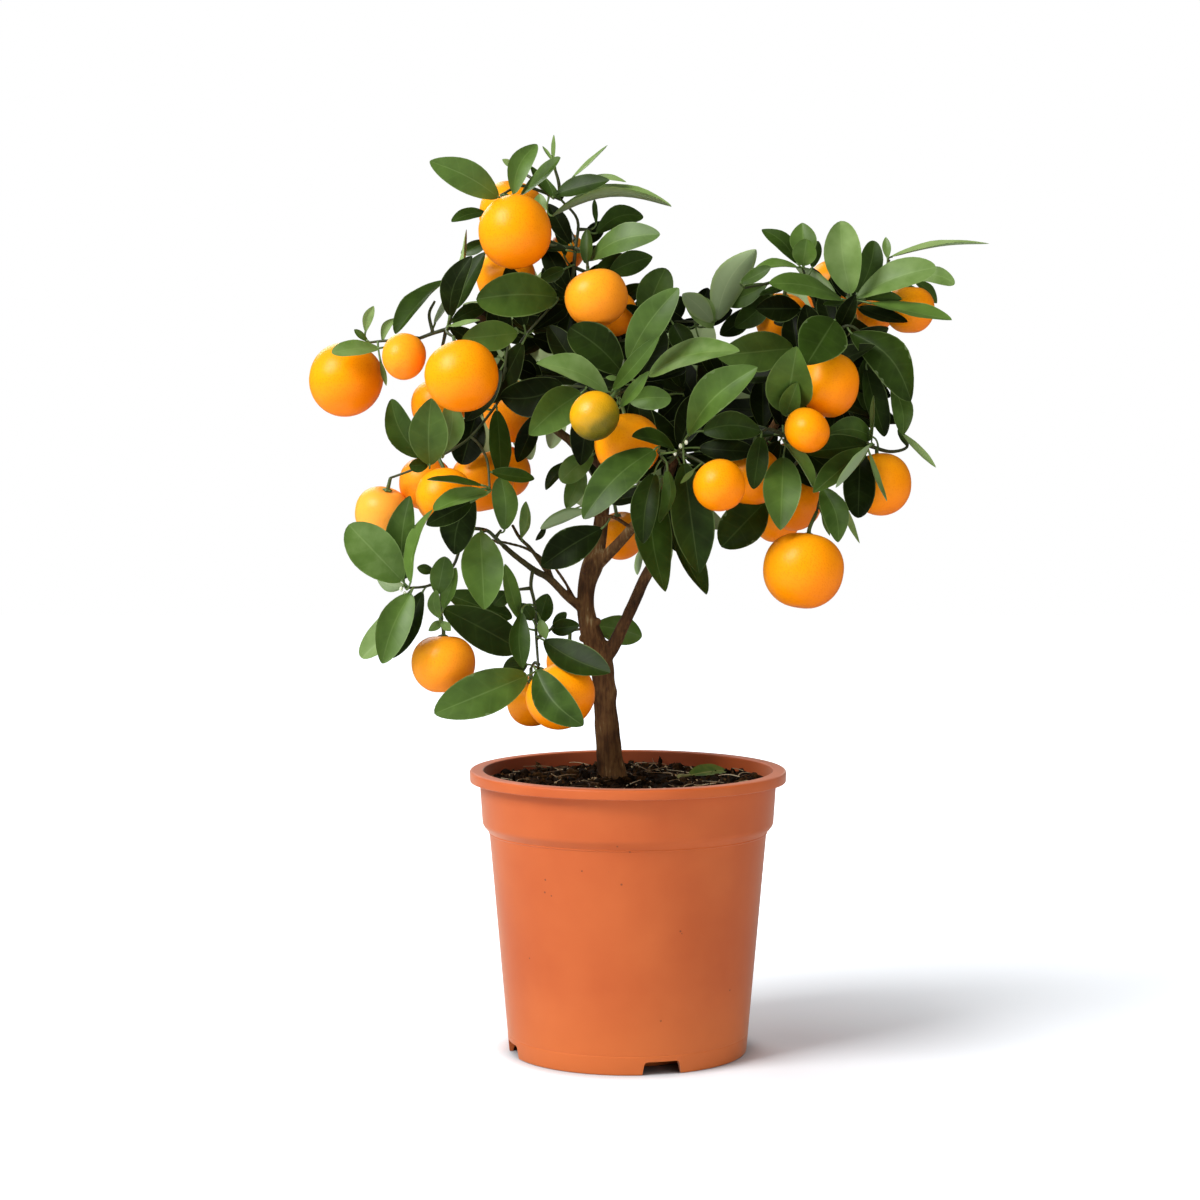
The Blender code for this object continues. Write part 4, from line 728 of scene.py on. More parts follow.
def piece(name, made, finish, nodes=(), crease=180):
    """A smooth mesh from a part in millimetres, its points that coincide made one and its edges
    sharper than crease degrees left sharp. It rides on the root body and stands for the named
    solids."""
    points, quads, uv, tone = made
    mesh = bpy.data.meshes.new(name)
    mesh.vertices.add(len(points))
    mesh.vertices.foreach_set("co", (points * MM).astype(np.float32).ravel())
    mesh.loops.add(quads.size)
    mesh.loops.foreach_set("vertex_index", quads.astype(np.int32).ravel())
    mesh.polygons.add(len(quads))
    mesh.polygons.foreach_set("loop_start", np.arange(0, quads.size, 4, dtype=np.int32))
    mesh.update(calc_edges=True)
    mesh.uv_layers.new(name="map").data.foreach_set("uv", uv[quads.ravel()].astype(np.float32).ravel())
    tones = mesh.attributes.new("tone", "FLOAT_COLOR", "POINT").data
    tones.foreach_set("color", tone.astype(np.float32).ravel())
    work = bmesh.new()
    work.from_mesh(mesh)
    bmesh.ops.remove_doubles(work, verts=work.verts, dist=1e-6)
    work.to_mesh(mesh)
    work.free()
    mesh.validate()
    mesh.shade_smooth()
    mesh.set_sharp_from_angle(angle=radians(crease))
    mesh.materials.append(finish)
    obj = bpy.data.objects.new(name, mesh)
    bpy.context.scene.collection.objects.link(obj)
    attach(obj, "root")
    if nodes:
        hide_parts(*nodes)
    return obj


print("a 3 x 4 grid has", len(grid_quads(3, 4)), "quads")


# %% Smooth paths, tubes and turned shapes
def unit(vectors):
    """Each vector divided by its length, the root of the sum of its squares."""
    return vectors / np.linalg.norm(vectors, axis=-1, keepdims=True)


def smooth_path(points, steps):
    """A Catmull-Rom curve through the points: on each stretch a cubic that starts and ends with
    half the chord between the neighbouring points as its slope."""
    points = np.asarray(points, float)
    ends = np.vstack([2 * points[0] - points[1], points, 2 * points[-1] - points[-2]])
    t = np.linspace(0, 1, steps, endpoint=False)[:, None]
    p0, p1, p2, p3 = (ends[i : len(ends) - 3 + i, None] for i in range(4))
    squared = (2 * p0 - 5 * p1 + 4 * p2 - p3) * t**2
    cubed = (3 * p1 - p0 - 3 * p2 + p3) * t**3
    curve = 2 * p1 + (p2 - p0) * t + squared + cubed
    return np.vstack([0.5 * curve.reshape(-1, points.shape[1]), points[-1:]])


def spokes(path):
    """Two directions square to the path at each of its points. Each first one is the one before
    it with its part along the path taken out, so that the rings don't twist."""
    along = unit(np.gradient(path, axis=0))
    first = np.empty_like(path)
    spoke = np.array([0.3, 1.0, 0.2])
    for i, way in enumerate(along):
        spoke = spoke - way * (spoke @ way)
        spoke = spoke / np.linalg.norm(spoke)
        first[i] = spoke
    return first, np.cross(along, first)


def tube(path, radii, sides):
    """A closed tube: path + radius (cos a first + sin a second) at angle a round the path, with
    a ring of radius nought at each end."""
    path = np.asarray(path, float)
    radii = np.broadcast_to(radii, len(path))
    first, second = spokes(path)
    turn = 2 * pi * np.arange(sides) / sides
    ring = first[:, None] * np.cos(turn)[:, None] + second[:, None] * np.sin(turn)[:, None]
    grid = path[:, None] + ring * radii[:, None, None]
    ends = np.ones((1, sides, 1)) * path[[0, -1]][:, None]
    return np.concatenate([ends[:1], grid, ends[1:]])


def turned(profile, sides):
    """A profile of (radius, z) points that starts and ends on the axis, carried round it."""
    radius, z = np.asarray(profile, float).T[..., None]
    turn = 2 * pi * (np.arange(sides) + 0.5) / sides
    return np.stack([radius * np.cos(turn), radius * np.sin(turn), z + 0 * turn], -1)


def rounded(corners, steps=5):
    """A profile whose corners (radius, z, rounding) are each replaced by a quadratic curve from
    rounding before the corner to rounding after it."""
    corners = np.asarray(corners, float)
    places, reach = corners[:, :2], corners[:, 2:]
    before, after = np.roll(places, 1, 0), np.roll(places, -1, 0)
    before[0], after[-1] = places[0] - 1, places[-1] - 1
    start = places + unit(before - places) * reach
    end = places + unit(after - places) * reach
    t = np.linspace(0, 1, steps)[:, None, None]
    curve = (start * (1 - t) ** 2 + 2 * places * t * (1 - t) + end * t**2).transpose(1, 0, 2)
    keep = np.ones((len(places), steps), bool)
    keep[reach[:, 0] == 0, 1:] = False
    return curve[keep]


def value_noise(points, size, seed=0):
    """Numbers from -1 to 1 that change smoothly: each corner of a lattice of this size gets a
    hashed number, and a point blends its eight corners by 3 t squared minus 2 t cubed."""
    places = np.asarray(points, float) / size
    cell = np.floor(places).astype(np.int64)
    t = places - cell
    t = t * t * (3 - 2 * t)
    total = np.zeros(len(places))
    for corner in np.ndindex(2, 2, 2):
        mixed = ((cell + corner) * (73856093, 19349663, 83492791)).sum(-1) + seed * 7919
        hashed = np.sin(mixed % 99991 * 12.9898) * 43758.5453
        total += np.prod(np.where(corner, t, 1 - t), -1) * (hashed - np.floor(hashed))
    return 2 * total - 1


print("noise at three points:", value_noise(np.eye(3) * 5, 2.0).round(2))

# %% [markdown]
# ## The pot
#
# A nursery pot is polypropylene, injection moulded in one shot, so its skin is smooth with a
# satin sheen, slightly blotched where the melt cooled, with rounded edges everywhere and specks
# of soil. Its colour also carries painted shade inside the collar and painted light low on the
# wall. It is turned from one profile; the drainage notches in its foot are cut out with a
# Boolean, because they don't follow the turning.

# %% The pot's sizes
POT_HEIGHT, RIM_RADIUS, LIP_HEIGHT = 153.0, 85.0, 7.5
COLLAR_TOP_RADIUS, COLLAR_FOOT_RADIUS, COLLAR_FOOT_Z, STEP_Z = 79.6, 78.2, 125.0, 118.5
WALL_TOP_RADIUS, FOOT_RADIUS, WALL = 74.4, 64.0, 2.0
LEDGE_Z = 122.6  # the collar's foot outside
CHANNEL_INNER_RADIUS, CHANNEL_Z = 44.0, 8.0
RIM_SAG = 2.2  # the thin lip hangs this much lower at the front than at the back
print("pot:", 2 * RIM_RADIUS, "mm across and", POT_HEIGHT, "mm tall")

# %% Polypropylene
pot_plastic, tree, shader = new_material("moulded_polypropylene")
# Polypropylene: satin, IOR 1.49, coloured through, with faint cloudy patches and specks of soil.
where = add(tree, "TexCoord")
clouds = add(tree, "TexNoise", {"Vector": where.outputs["Object"], "Scale": 22.0, "Detail": 3.0})
tint = add(tree, "ValToRGB", {0: clouds}, stops=((0.3, 0xBF5824), (0.7, 0xCA642D)))
# Specks of soil are 0.5 to 1 mm across: a cell pattern of about 6 mm, nearly all of it cut away.
specks = add(tree, "TexVoronoi", {"Vector": where.outputs["Object"], "Scale": 160.0})
patches = add(tree, "TexNoise", {"Vector": where.outputs["Object"], "Scale": 35.0, "Detail": 1.0})
rare = add(tree, "Math", {0: patches, 1: 0.63}, operation="GREATER_THAN")
small = add(tree, "Math", {0: specks.outputs["Distance"], 1: 0.09}, operation="LESS_THAN")
dirty = add(tree, "Math", {0: rare, 1: small}, operation="MULTIPLY")
dirt = add(tree, "Mix", {0: dirty, 6: tint, 7: linear(0x8A4424)}, data_type="RGBA")
# Inside the collar the wall is painted darker, as painted shade, less so towards the right, where
# the light from the left reaches it.
wall_place = add(tree, "SeparateXYZ", {0: where.outputs["Object"]})
flat_place = add(tree, "CombineXYZ", {0: wall_place.outputs["X"], 1: wall_place.outputs["Y"]})
out_from_axis = add(tree, "VectorMath", {0: flat_place}, operation="LENGTH")
INSIDE_WALL, PAINTED_SHADE_FOOT = (COLLAR_TOP_RADIUS - WALL + 0.3) * MM, (COLLAR_FOOT_Z - 1.5) * MM
inside = add(tree, "Math", {
    0: out_from_axis.outputs["Value"], 1: INSIDE_WALL}, operation="LESS_THAN")
high = add(tree, "Math", {0: wall_place.outputs["Z"], 1: PAINTED_SHADE_FOOT}, operation="GREATER_THAN")
painted_inner_shade = add(tree, "Math", {0: inside, 1: high}, operation="MULTIPLY")
to_the_right = add(tree, "MapRange", {
    0: wall_place.outputs["X"], 1: 0.02, 2: 0.07, 3: 0.65, 4: 0.1}, clamp=True)
painted_inner_shade = add(tree, "Math", {0: painted_inner_shade, 1: to_the_right}, operation="MULTIPLY")
painted_inner_shaded = add(tree, "Mix", {0: painted_inner_shade, 6: dirt.outputs[2], 7: linear(0x4C1E0F)}, data_type="RGBA")
# Over the lowest 45 mm the wall is painted paler, most of all at the foot: painted light, as
# bounced up from the floor.
near_foot = add(tree, "MapRange", {
    0: wall_place.outputs["Z"], 1: 0.0, 2: 0.045, 3: 0.6, 4: 0.0}, clamp=True)
painted_floor_bounce = add(tree, "Mix", {
    0: near_foot, 6: painted_inner_shaded.outputs[2], 7: linear(0xDC7838)}, data_type="RGBA")
# The mould's fine blasted texture, about 0.4 mm, is drawn at 0.8 mm so that it shows.
grain = add(tree, "TexNoise", {"Vector": where.outputs["Object"], "Scale": 1250.0, "Detail": 2.0})
relief = add(tree, "Bump", {"Height": grain, "Strength": 0.06, "Distance": 0.0002})
# The sheen makes its dusty skin paler where it is seen at a slant.
plug(tree, shader, {
    "Base Color": painted_floor_bounce.outputs[2], "Normal": relief, "Roughness": 0.5, "IOR": 1.49,
    "Specular IOR Level": 0.35, "Sheen Weight": 0.6, "Sheen Roughness": 0.35,
    "Sheen Tint": linear(0xFFE6D6)})
print("plastic nodes:", len(tree.nodes))

# %% The pot's profile
lip_foot = POT_HEIGHT - LIP_HEIGHT
line_z = 10.0  # where the mould's base meets its wall, a faint groove
line_radius = FOOT_RADIUS + (WALL_TOP_RADIUS - FOOT_RADIUS) * line_z / STEP_Z
pot_profile = rounded([
    (0, 0, 0), (40, 0, 0), (CHANNEL_INNER_RADIUS, 0, 0.8),
    (CHANNEL_INNER_RADIUS + 1, CHANNEL_Z, 0.8), (FOOT_RADIUS - 2 * WALL, CHANNEL_Z, 0.8),
    (FOOT_RADIUS - WALL, 0, 0.5), (FOOT_RADIUS, 0, 0.8), (line_radius, line_z - 0.5, 0.1),
    (line_radius - 0.12, line_z, 0.1), (line_radius + 0.04, line_z + 0.5, 0.1),
    (WALL_TOP_RADIUS, STEP_Z - 0.9, 0.2), (WALL_TOP_RADIUS + 0.5, STEP_Z - 0.4, 0.15),
    (WALL_TOP_RADIUS + 0.35, STEP_Z + 0.2, 0.1), (COLLAR_FOOT_RADIUS - 0.1, LEDGE_Z, 1.6),
    (COLLAR_TOP_RADIUS, lip_foot, 0.6), (RIM_RADIUS - 0.2, lip_foot, 0.8),
    (RIM_RADIUS, POT_HEIGHT, 1.8), (COLLAR_TOP_RADIUS - WALL, POT_HEIGHT, 1.2),
    (COLLAR_FOOT_RADIUS - WALL, COLLAR_FOOT_Z, 1.5), (WALL_TOP_RADIUS - WALL, STEP_Z, 1.5),
    (FOOT_RADIUS - WALL + 0.8, CHANNEL_Z + WALL, 1.0),
    (CHANNEL_INNER_RADIUS - 1, CHANNEL_Z + WALL, 0.5), (CHANNEL_INNER_RADIUS - 2, WALL, 0.5),
    (0, WALL, 0),
])
pot_shell = turned(pot_profile, 192)
up_the_lip = np.clip((pot_shell[..., 2] - lip_foot) / LIP_HEIGHT, 0, 1)
pot_shell[..., 2] -= RIM_SAG * up_the_lip * (1 - pot_shell[..., 1] / RIM_RADIUS) / 2
pot = piece("pot_shell", part(pot_shell), pot_plastic, ["pot"])
print("profile points:", len(pot_profile))

# %% The drainage notches
NOTCH_ANGLES = (15.5, 105.5, 195.5, 285.5)  # degrees from the front, turning towards +X
NOTCH = [  # (sideways, z) round a notch's outline, which ends 1 mm under the foot
    (-10.5, -1), (10.5, -1), (10.5, 0), (9.6, 5.2), (9.0, 6.6),
    (7.4, 7.0), (-7.4, 7.0), (-9.0, 6.6), (-9.6, 5.2), (-10.5, 0),
]


def notch_cutter(angle):
    """A bar with the notch's outline, carried from inside the foot ring to outside it."""
    side, z = np.array(NOTCH, float).T
    radius = np.array([FOOT_RADIUS - 2 * WALL - 1, FOOT_RADIUS + 4])
    radius = radius[[0, 0, 1, 1], None]
    middle = np.array([0, 1, 1, 0])[:, None]  # the end rings shrink to a point, which closes them
    side, z = side * middle, z * middle + 3 * (1 - middle)
    turn = radians(angle - 90)
    x, y = radius * np.cos(turn) - side * np.sin(turn), radius * np.sin(turn) + side * np.cos(turn)
    return part(np.stack([x, y, z + 0 * x], -1))


for angle in NOTCH_ANGLES:
    cutter = piece(f"notch_{angle:.0f}", notch_cutter(angle), pot_plastic)
    cutter.data.shade_flat()
    cut = pot.modifiers.new(cutter.name, "BOOLEAN")
    cut.object, cut.operation, cut.solver = cutter, "DIFFERENCE", "EXACT"
bpy.context.view_layer.update()
cut_mesh = bpy.data.meshes.new_from_object(pot.evaluated_get(bpy.context.evaluated_depsgraph_get()))
pot.modifiers.clear()
pot.data = cut_mesh
cut_mesh.shade_smooth()
cut_mesh.set_sharp_from_angle(angle=radians(35))
for angle in NOTCH_ANGLES:
    bpy.data.objects.remove(bpy.data.objects[f"notch_{angle:.0f}"])
print("pot faces:", len(cut_mesh.polygons))

# %% [markdown]
# ## The soil
#
# The root ball shows as coarse peat: dark crumbs, bits of bark, straw-coloured roots and fibres,
# and a few pale grains. A displaced disc alone would look like mud, so crumbs and fibres lie on
# it as small parts of their own.

# %% Peat and fibre materials
peat, tree, shader = new_material("moist_peat")
# Peat: matt, almost black where it is wet, brown where it has dried. The tone gives each crumb
# its own shade.
where = add(tree, "TexCoord")
tone = add(tree, "Attribute", attribute_name="tone")
shade_of = add(tree, "SeparateColor", {0: tone.outputs["Color"]})
mottle = add(tree, "TexNoise", {
    "Vector": where.outputs["Object"], "Scale": 260.0, "Detail": 4.0, "Roughness": 0.65})
mixed = add(tree, "Math", {0: shade_of.outputs["Red"], 1: mottle}, operation="MULTIPLY")
earth = add(tree, "ValToRGB", {0: mixed}, stops=(
    (0.03, 0x070402), (0.15, 0x1A1006), (0.32, 0x493118), (0.58, 0xAC9674)))
rough = add(tree, "TexNoise", {
    "Vector": where.outputs["Object"], "Scale": 900.0, "Detail": 5.0, "Roughness": 0.7})
relief = add(tree, "Bump", {"Height": rough, "Strength": 0.7, "Distance": 0.0006})
plug(tree, shader, {
    "Base Color": earth, "Normal": relief, "Roughness": 0.85, "Specular IOR Level": 0.06})

root_fibre, tree, shader = new_material("dry_root_fibre")
# Dry fine roots and straw: matt, pale tan, browner where the tone is low.
tone = add(tree, "Attribute", attribute_name="tone")
shade_of = add(tree, "SeparateColor", {0: tone.outputs["Color"]})
straw = add(tree, "ValToRGB", {0: shade_of.outputs["Red"]}, stops=(
    (0.0, 0x4A3422), (0.5, 0x8C7350), (1.0, 0xCDBE9E)))
plug(tree, shader, {"Base Color": straw, "Roughness": 0.8})
print("soil materials: 2")

# %% The soil's surface
SOIL_Z = 145.2
SOIL_SLACK = 0.6
SOIL_RINGS, SOIL_SIDES = 96, 288
SOIL_BUMPS = [(1.3, 14.0, 1), (1.0, 6.0, 2), (0.7, 2.5, 3)]  # height and size in mm, and a seed
STEM_X, MOUND_HEIGHT, MOUND_RADIUS = -8, 2.5, 16


def soil_height(points):
    """Height over the level of the soil at (x, y): three sizes of noise, and round the stem a
    mound of its height times exp(-(distance / radius) squared)."""
    flat = np.column_stack([points[:, 0], points[:, 1], np.zeros(len(points))])
    bumps = sum(tall * value_noise(flat, size, seed) for tall, size, seed in SOIL_BUMPS)
    from_stem = np.hypot(points[:, 0] - STEM_X, points[:, 1])
    return bumps + MOUND_HEIGHT * np.exp(-((from_stem / MOUND_RADIUS) ** 2))


def soil_body():
    """The pot's inside turned as a solid, its top rings lifted by the soil's height."""
    inner = COLLAR_TOP_RADIUS - WALL - SOIL_SLACK
    radius = np.concatenate([[0], np.linspace(0.8, inner - 0.4, SOIL_RINGS)])
    top = turned(np.column_stack([radius, np.full(len(radius), SOIL_Z)]), SOIL_SIDES)
    flat = top.reshape(-1, 3)
    fade = np.clip((inner - np.hypot(flat[:, 0], flat[:, 1])) / 3, 0, 1)
    flat[:, 2] += soil_height(flat) * (0.3 + 0.7 * fade)
    flat[:SOIL_SIDES, 2] = flat[:SOIL_SIDES, 2].mean()
    floor_z = CHANNEL_Z + WALL + 0.3
    wall = [
        (inner - 0.2, SOIL_Z - 2), (COLLAR_FOOT_RADIUS - WALL - SOIL_SLACK, COLLAR_FOOT_Z + 0.5),
        (WALL_TOP_RADIUS - WALL - SOIL_SLACK, STEP_Z), (FOOT_RADIUS - WALL + 0.2, floor_z),
        (CHANNEL_INNER_RADIUS - 1.6, floor_z), (CHANNEL_INNER_RADIUS - 2.6, WALL + 0.3),
        (0, WALL + 0.3),
    ]
    grid = np.concatenate([flat.reshape(top.shape), turned(wall, SOIL_SIDES)])
    return shaded_part(grid, 0.34)


soil = piece("soil_surface", soil_body(), peat, ["potting_soil"])
print("soil faces:", len(soil.data.polygons))

# %% Crumbs, bark bits and fibres
rng = np.random.default_rng(7)
CRUMBS, BARK_BITS, PALE_GRAINS, FIBRES = 900, 150, 45, 110
STREWN_RADIUS = 74  # no crumb's middle and no fibre lies farther out than this
CRUMB_SHADES, CRUMB_SHARES = [0.15, 0.3, 0.45, 0.62], [0.35, 0.35, 0.22, 0.08]


def lump(centre, size, turn, shade):
    """A crumb: a rough ball of 3 rings of 6 points between its poles, each point pushed in or out
    by up to a third, then stretched by size and turned."""
    polar = np.linspace(0, pi, 5)[:, None]
    around = 2 * pi * np.arange(6) / 6
    ball = np.stack([
        np.sin(polar) * np.cos(around), np.sin(polar) * np.sin(around), np.cos(polar) + 0 * around,
    ], -1)
    push = 1 + rng.uniform(-0.33, 0.33, (5, 6, 1))
    push[[0, -1]] = 1
    return shaded_part((ball * push * size) @ turn.T + centre, shade)


def random_turn():
    """A rotation matrix from a random unit quaternion."""
    w, x, y, z = unit(rng.normal(size=4))
    return np.array([
        [1 - 2 * (y * y + z * z), 2 * (x * y - w * z), 2 * (x * z + w * y)],
        [2 * (x * y + w * z), 1 - 2 * (x * x + z * z), 2 * (y * z - w * x)],
        [2 * (x * z - w * y), 2 * (y * z + w * x), 1 - 2 * (x * x + y * y)],
    ])


def soil_place(lift):
    """A random point on the soil inside the rim, lifted by so much."""
    radius, turn = STREWN_RADIUS * rng.uniform() ** 0.5, rng.uniform(0, 2 * pi)
    place = np.array([[radius * np.cos(turn), radius * np.sin(turn), 0]])
    place[0, 2] = SOIL_Z + soil_height(place)[0] + lift
    return place[0]


crumbs = []
for i in range(CRUMBS):
    size = rng.uniform(0.6, 1.2) * np.array([1.5, 1.2, 1.0]) * (2.2 if i % 7 == 0 else 1.0)
    shade = rng.choice(CRUMB_SHADES, p=CRUMB_SHARES)
    crumbs.append(lump(soil_place(0.2), size, random_turn(), shade))
for i in range(BARK_BITS):  # flat and long
    size = np.array([rng.uniform(2.2, 4.6), rng.uniform(0.9, 1.7), 0.5])
    crumbs.append(lump(soil_place(0.7), size, random_turn(), rng.uniform(0.2, 0.55)))
for i in range(PALE_GRAINS):  # every third one lies close round the stem
    if i % 3:
        place = soil_place(0.9)
    else:
        place = np.array([rng.uniform(-22, -6), rng.uniform(-16, 10), SOIL_Z + 2.2])
    size = np.full(3, rng.uniform(0.5, 1.1))
    crumbs.append(lump(place, size, random_turn(), rng.uniform(1.0, 1.5)))
piece("soil_crumbs", joined(crumbs), peat)


def fibre(start, way, length, bend, lift):
    """A root fibre: it runs along way, swings aside by bend times the sine of pi t, and rises by
    lift times the same."""
    t = np.linspace(0, 1, 9)[:, None]
    aside = np.array([-way[1], way[0], 0])
    return start + way * length * t + (aside * bend + np.array([0, 0, lift])) * np.sin(pi * t)


fibres = []
for i in range(FIBRES):
    turn = rng.uniform(0, 2 * pi)
    way = np.array([np.cos(turn), np.sin(turn), rng.uniform(-0.05, 0.22)])
    start = soil_place(0.8)
    length = min(rng.uniform(5, 20), STREWN_RADIUS - np.hypot(start[0], start[1]) + 6)
    path = fibre(start, way, length, rng.uniform(-3, 3), rng.uniform(0, 1.0))
    inside = np.clip(STREWN_RADIUS / np.maximum(np.hypot(path[:, 0], path[:, 1]), 1), None, 1)
    path[:, :2] *= inside[:, None]
    radius = rng.uniform(0.18, 0.42) * np.linspace(1, 0.5, 9)
    fibres.append(shaded_part(tube(path, radius, 4), rng.uniform(0, 1) ** 1.4))
piece("soil_fibres", joined(fibres), root_fibre)
print("crumbs:", len(crumbs), "fibres:", len(fibres))

# %% [markdown]
# ## The wood
#
# The stem and limbs are one branching body. Tubes alone would meet in sharp seams, so they are
# joined by a voxel remesh, which melts them together like real forks, then smoothed, and the
# bark's furrows are pushed into the skin along the grain.

# %% Bark
bark, tree, shader = new_material("young_citrus_bark")
# Young citrus bark: brown and dry, with fine lengthwise cracks 1 to 2 mm apart and paler flecks
# between them.
where = add(tree, "TexCoord")
# Stretched along the stem: what is 1 mm across the grain is drawn 7 mm long.
grain_space = add(tree, "Mapping", {"Vector": where.outputs["Object"], "Scale": (1.0, 1.0, 0.14)})
grain = add(tree, "TexNoise", {
    "Vector": grain_space, "Scale": 700.0, "Detail": 4.0, "Roughness": 0.6})
patch = add(tree, "TexNoise", {"Vector": where.outputs["Object"], "Scale": 55.0, "Detail": 3.0})
both = add(tree, "Math", {0: grain, 1: 0.62, 2: patch}, operation="MULTIPLY_ADD")
colour = add(tree, "ValToRGB", {0: both}, stops=(
    (0.50, 0x241509), (0.74, 0x4B3019), (0.92, 0x6A4B2A), (1.0, 0x8A7450)))
# The branches left of the stem are younger, and still partly green.
left_of = add(tree, "SeparateXYZ", {0: where.outputs["Object"]})
young = add(tree, "MapRange", {0: left_of.outputs["X"], 1: -0.028, 2: -0.050, 3: 0.0, 4: 0.75})
greener = add(tree, "Mix", {0: young, 6: colour, 7: linear(0x34381F)}, data_type="RGBA")
relief = add(tree, "Bump", {"Height": grain, "Strength": 0.65, "Distance": 0.0006})
plug(tree, shader, {
    "Base Color": greener.outputs[2], "Normal": relief, "Roughness": 0.8, "Specular IOR Level": 0.2})
print("bark nodes:", len(tree.nodes))

# %% Melt the limbs together
STEM_KNOTS = [  # (x, z, depth, radius)
    (-16.5, 231, -3.6, 2.4), (-24.5, 222, -3.0, 2.2), (-11, 196, -4.5, 1.8), (-22.5, 259, -3.0, 2.6),
]
VOXEL = 0.0007  # metres: under half of the thinnest limb's width


def limb(places, steps, sides):
    """A tube through (x, z, depth, radius) places on a smooth path."""
    row = np.column_stack([seen(places), np.asarray(places)[:, 3]])
    row = smooth_path(row, steps)
    return part(tube(row[:, :3], row[:, 3], sides))


def knot(x, z, depth, radius):
    """A small bump where a shoot was cut: a ball sunk in the stem."""
    centre = seen([x, z, depth])
    polar = np.linspace(0, pi, 9)
    ball = turned(np.column_stack([radius * np.sin(polar), -radius * np.cos(polar)]), 12)
    return part(ball + centre)


limbs = [TRUNK, RIGHT_LIMB, CENTRE_LIMB, LEFT_BRANCH, *LEFT_BRANCH_SIDES]
limbs += [UPPER_LEFT_BRANCH, TOP_BRANCH, CENTRE_LIMB_SIDE]
wood_parts = [limb(places, 5, 20) for places in limbs] + [knot(*spot) for spot in STEM_KNOTS]
wood_nodes = ["trunk", "right_limb", "centre_limb", "left_branch", "upper_branches"]
wood = piece("wood", joined(wood_parts), bark, wood_nodes)
remesh = wood.modifiers.new("melt", "REMESH")
remesh.mode, remesh.voxel_size = "VOXEL", VOXEL
smooth = wood.modifiers.new("even", "SMOOTH")
smooth.iterations, smooth.factor = 6, 0.5
bpy.context.view_layer.update()
skin = bpy.data.meshes.new_from_object(wood.evaluated_get(bpy.context.evaluated_depsgraph_get()))
wood.modifiers.clear()
wood.data = skin
print("wood faces:", len(skin.polygons))

# %% Push the furrows into the bark
count = len(skin.vertices)
places, ways = np.empty(count * 3), np.empty(count * 3)
skin.vertices.foreach_get("co", places)
skin.vertices.foreach_get("normal", ways)
places, ways = places.reshape(-1, 3) / MM, ways.reshape(-1, 3)
# Along the grain the noise is six times longer than across it; thin twigs stay smoother.
furrow = value_noise(places * (1, 1, 1 / 6), 1.7, 4) * 0.22 + value_noise(places, 5.0, 5) * 0.28
thick = np.clip((300 - places[:, 2]) / 120, 0.25, 1.0)
places += ways * (furrow * thick)[:, None]
skin.vertices.foreach_set("co", (places * MM).astype(np.float32).ravel())
skin.update()
skin.shade_smooth()
skin.materials.clear()
skin.materials.append(bark)
print("furrows from", furrow.min().round(2), "to", furrow.max().round(2), "mm")

# %% [markdown]
# ## The fruit
#
# Calamondin fruit is a small orange ball a little wider than it is tall, with a dimple where the
# stalk sits, a scar at the blossom end, and peel pitted with oil glands about a millimetre apart.
# Each fruit is an ellipsoid with those dimples in its formula; the pores are in the material.

# %% Peel
def gland_pits(tree, where):
    """Oil glands about 1.1 mm apart: 0 in the middle of each pit, rising to 1 between them."""
    glands = add(tree, "TexVoronoi", {"Vector": where.outputs["Object"], "Scale": 900.0})
    return add(tree, "MapRange", {
        0: glands.outputs["Distance"], 2: 0.55}, interpolation_type="SMOOTHSTEP")


peel, tree, shader = new_material("waxy_citrus_peel")
# Citrus peel: satin from its natural wax, IOR 1.45, pored, deeper orange in cloudy patches.
where = add(tree, "TexCoord")
clouds = add(tree, "TexNoise", {"Vector": where.outputs["Object"], "Scale": 45.0, "Detail": 2.0})
tone = add(tree, "Attribute", attribute_name="tone")
ends = add(tree, "SeparateColor", {0: tone.outputs["Color"]})
# The side towards the key light, above on the left, is painted yellower than the side below:
# painted light.
painted_lit_side = add(tree, "Math", {0: clouds, 1: 0.25, 2: ends.outputs["Blue"]}, operation="MULTIPLY_ADD")
flesh = add(tree, "ValToRGB", {0: painted_lit_side}, stops=(
    (0.2, 0xF27A00), (0.5, 0xFF8E00), (0.8, 0xFF9900), (1.0, 0xFFA20C)))
# The pits are a deeper orange.
pits = gland_pits(tree, where)
fainter = add(tree, "MapRange", {0: pits, 3: 0.55, 4: 1.0})
pitted = add(tree, "Mix", {0: fainter, 6: linear(0xF07400), 7: flesh}, data_type="RGBA")
scarred = add(tree, "Mix", {
    0: ends.outputs["Red"], 6: pitted.outputs[2], 7: linear(0x6B3A12)}, data_type="RGBA")
greened = add(tree, "Mix", {
    0: ends.outputs["Green"], 6: scarred.outputs[2], 7: linear(0xB9A21C)}, data_type="RGBA")
# A few fruits are painted paler all over: painted light.
painted_paler = add(tree, "Mix", {
    0: tone.outputs["Alpha"], 6: greened.outputs[2], 7: linear(0xFFC05A)}, data_type="RGBA")
relief = add(tree, "Bump", {"Height": pits, "Strength": 0.14, "Distance": 0.0004})
plug(tree, shader, {
    "Base Color": painted_paler.outputs[2], "Normal": relief, "Roughness": 0.34, "IOR": 1.45,
    "Specular IOR Level": 0.2})

ripening_peel, tree, shader = new_material("ripening_citrus_peel")
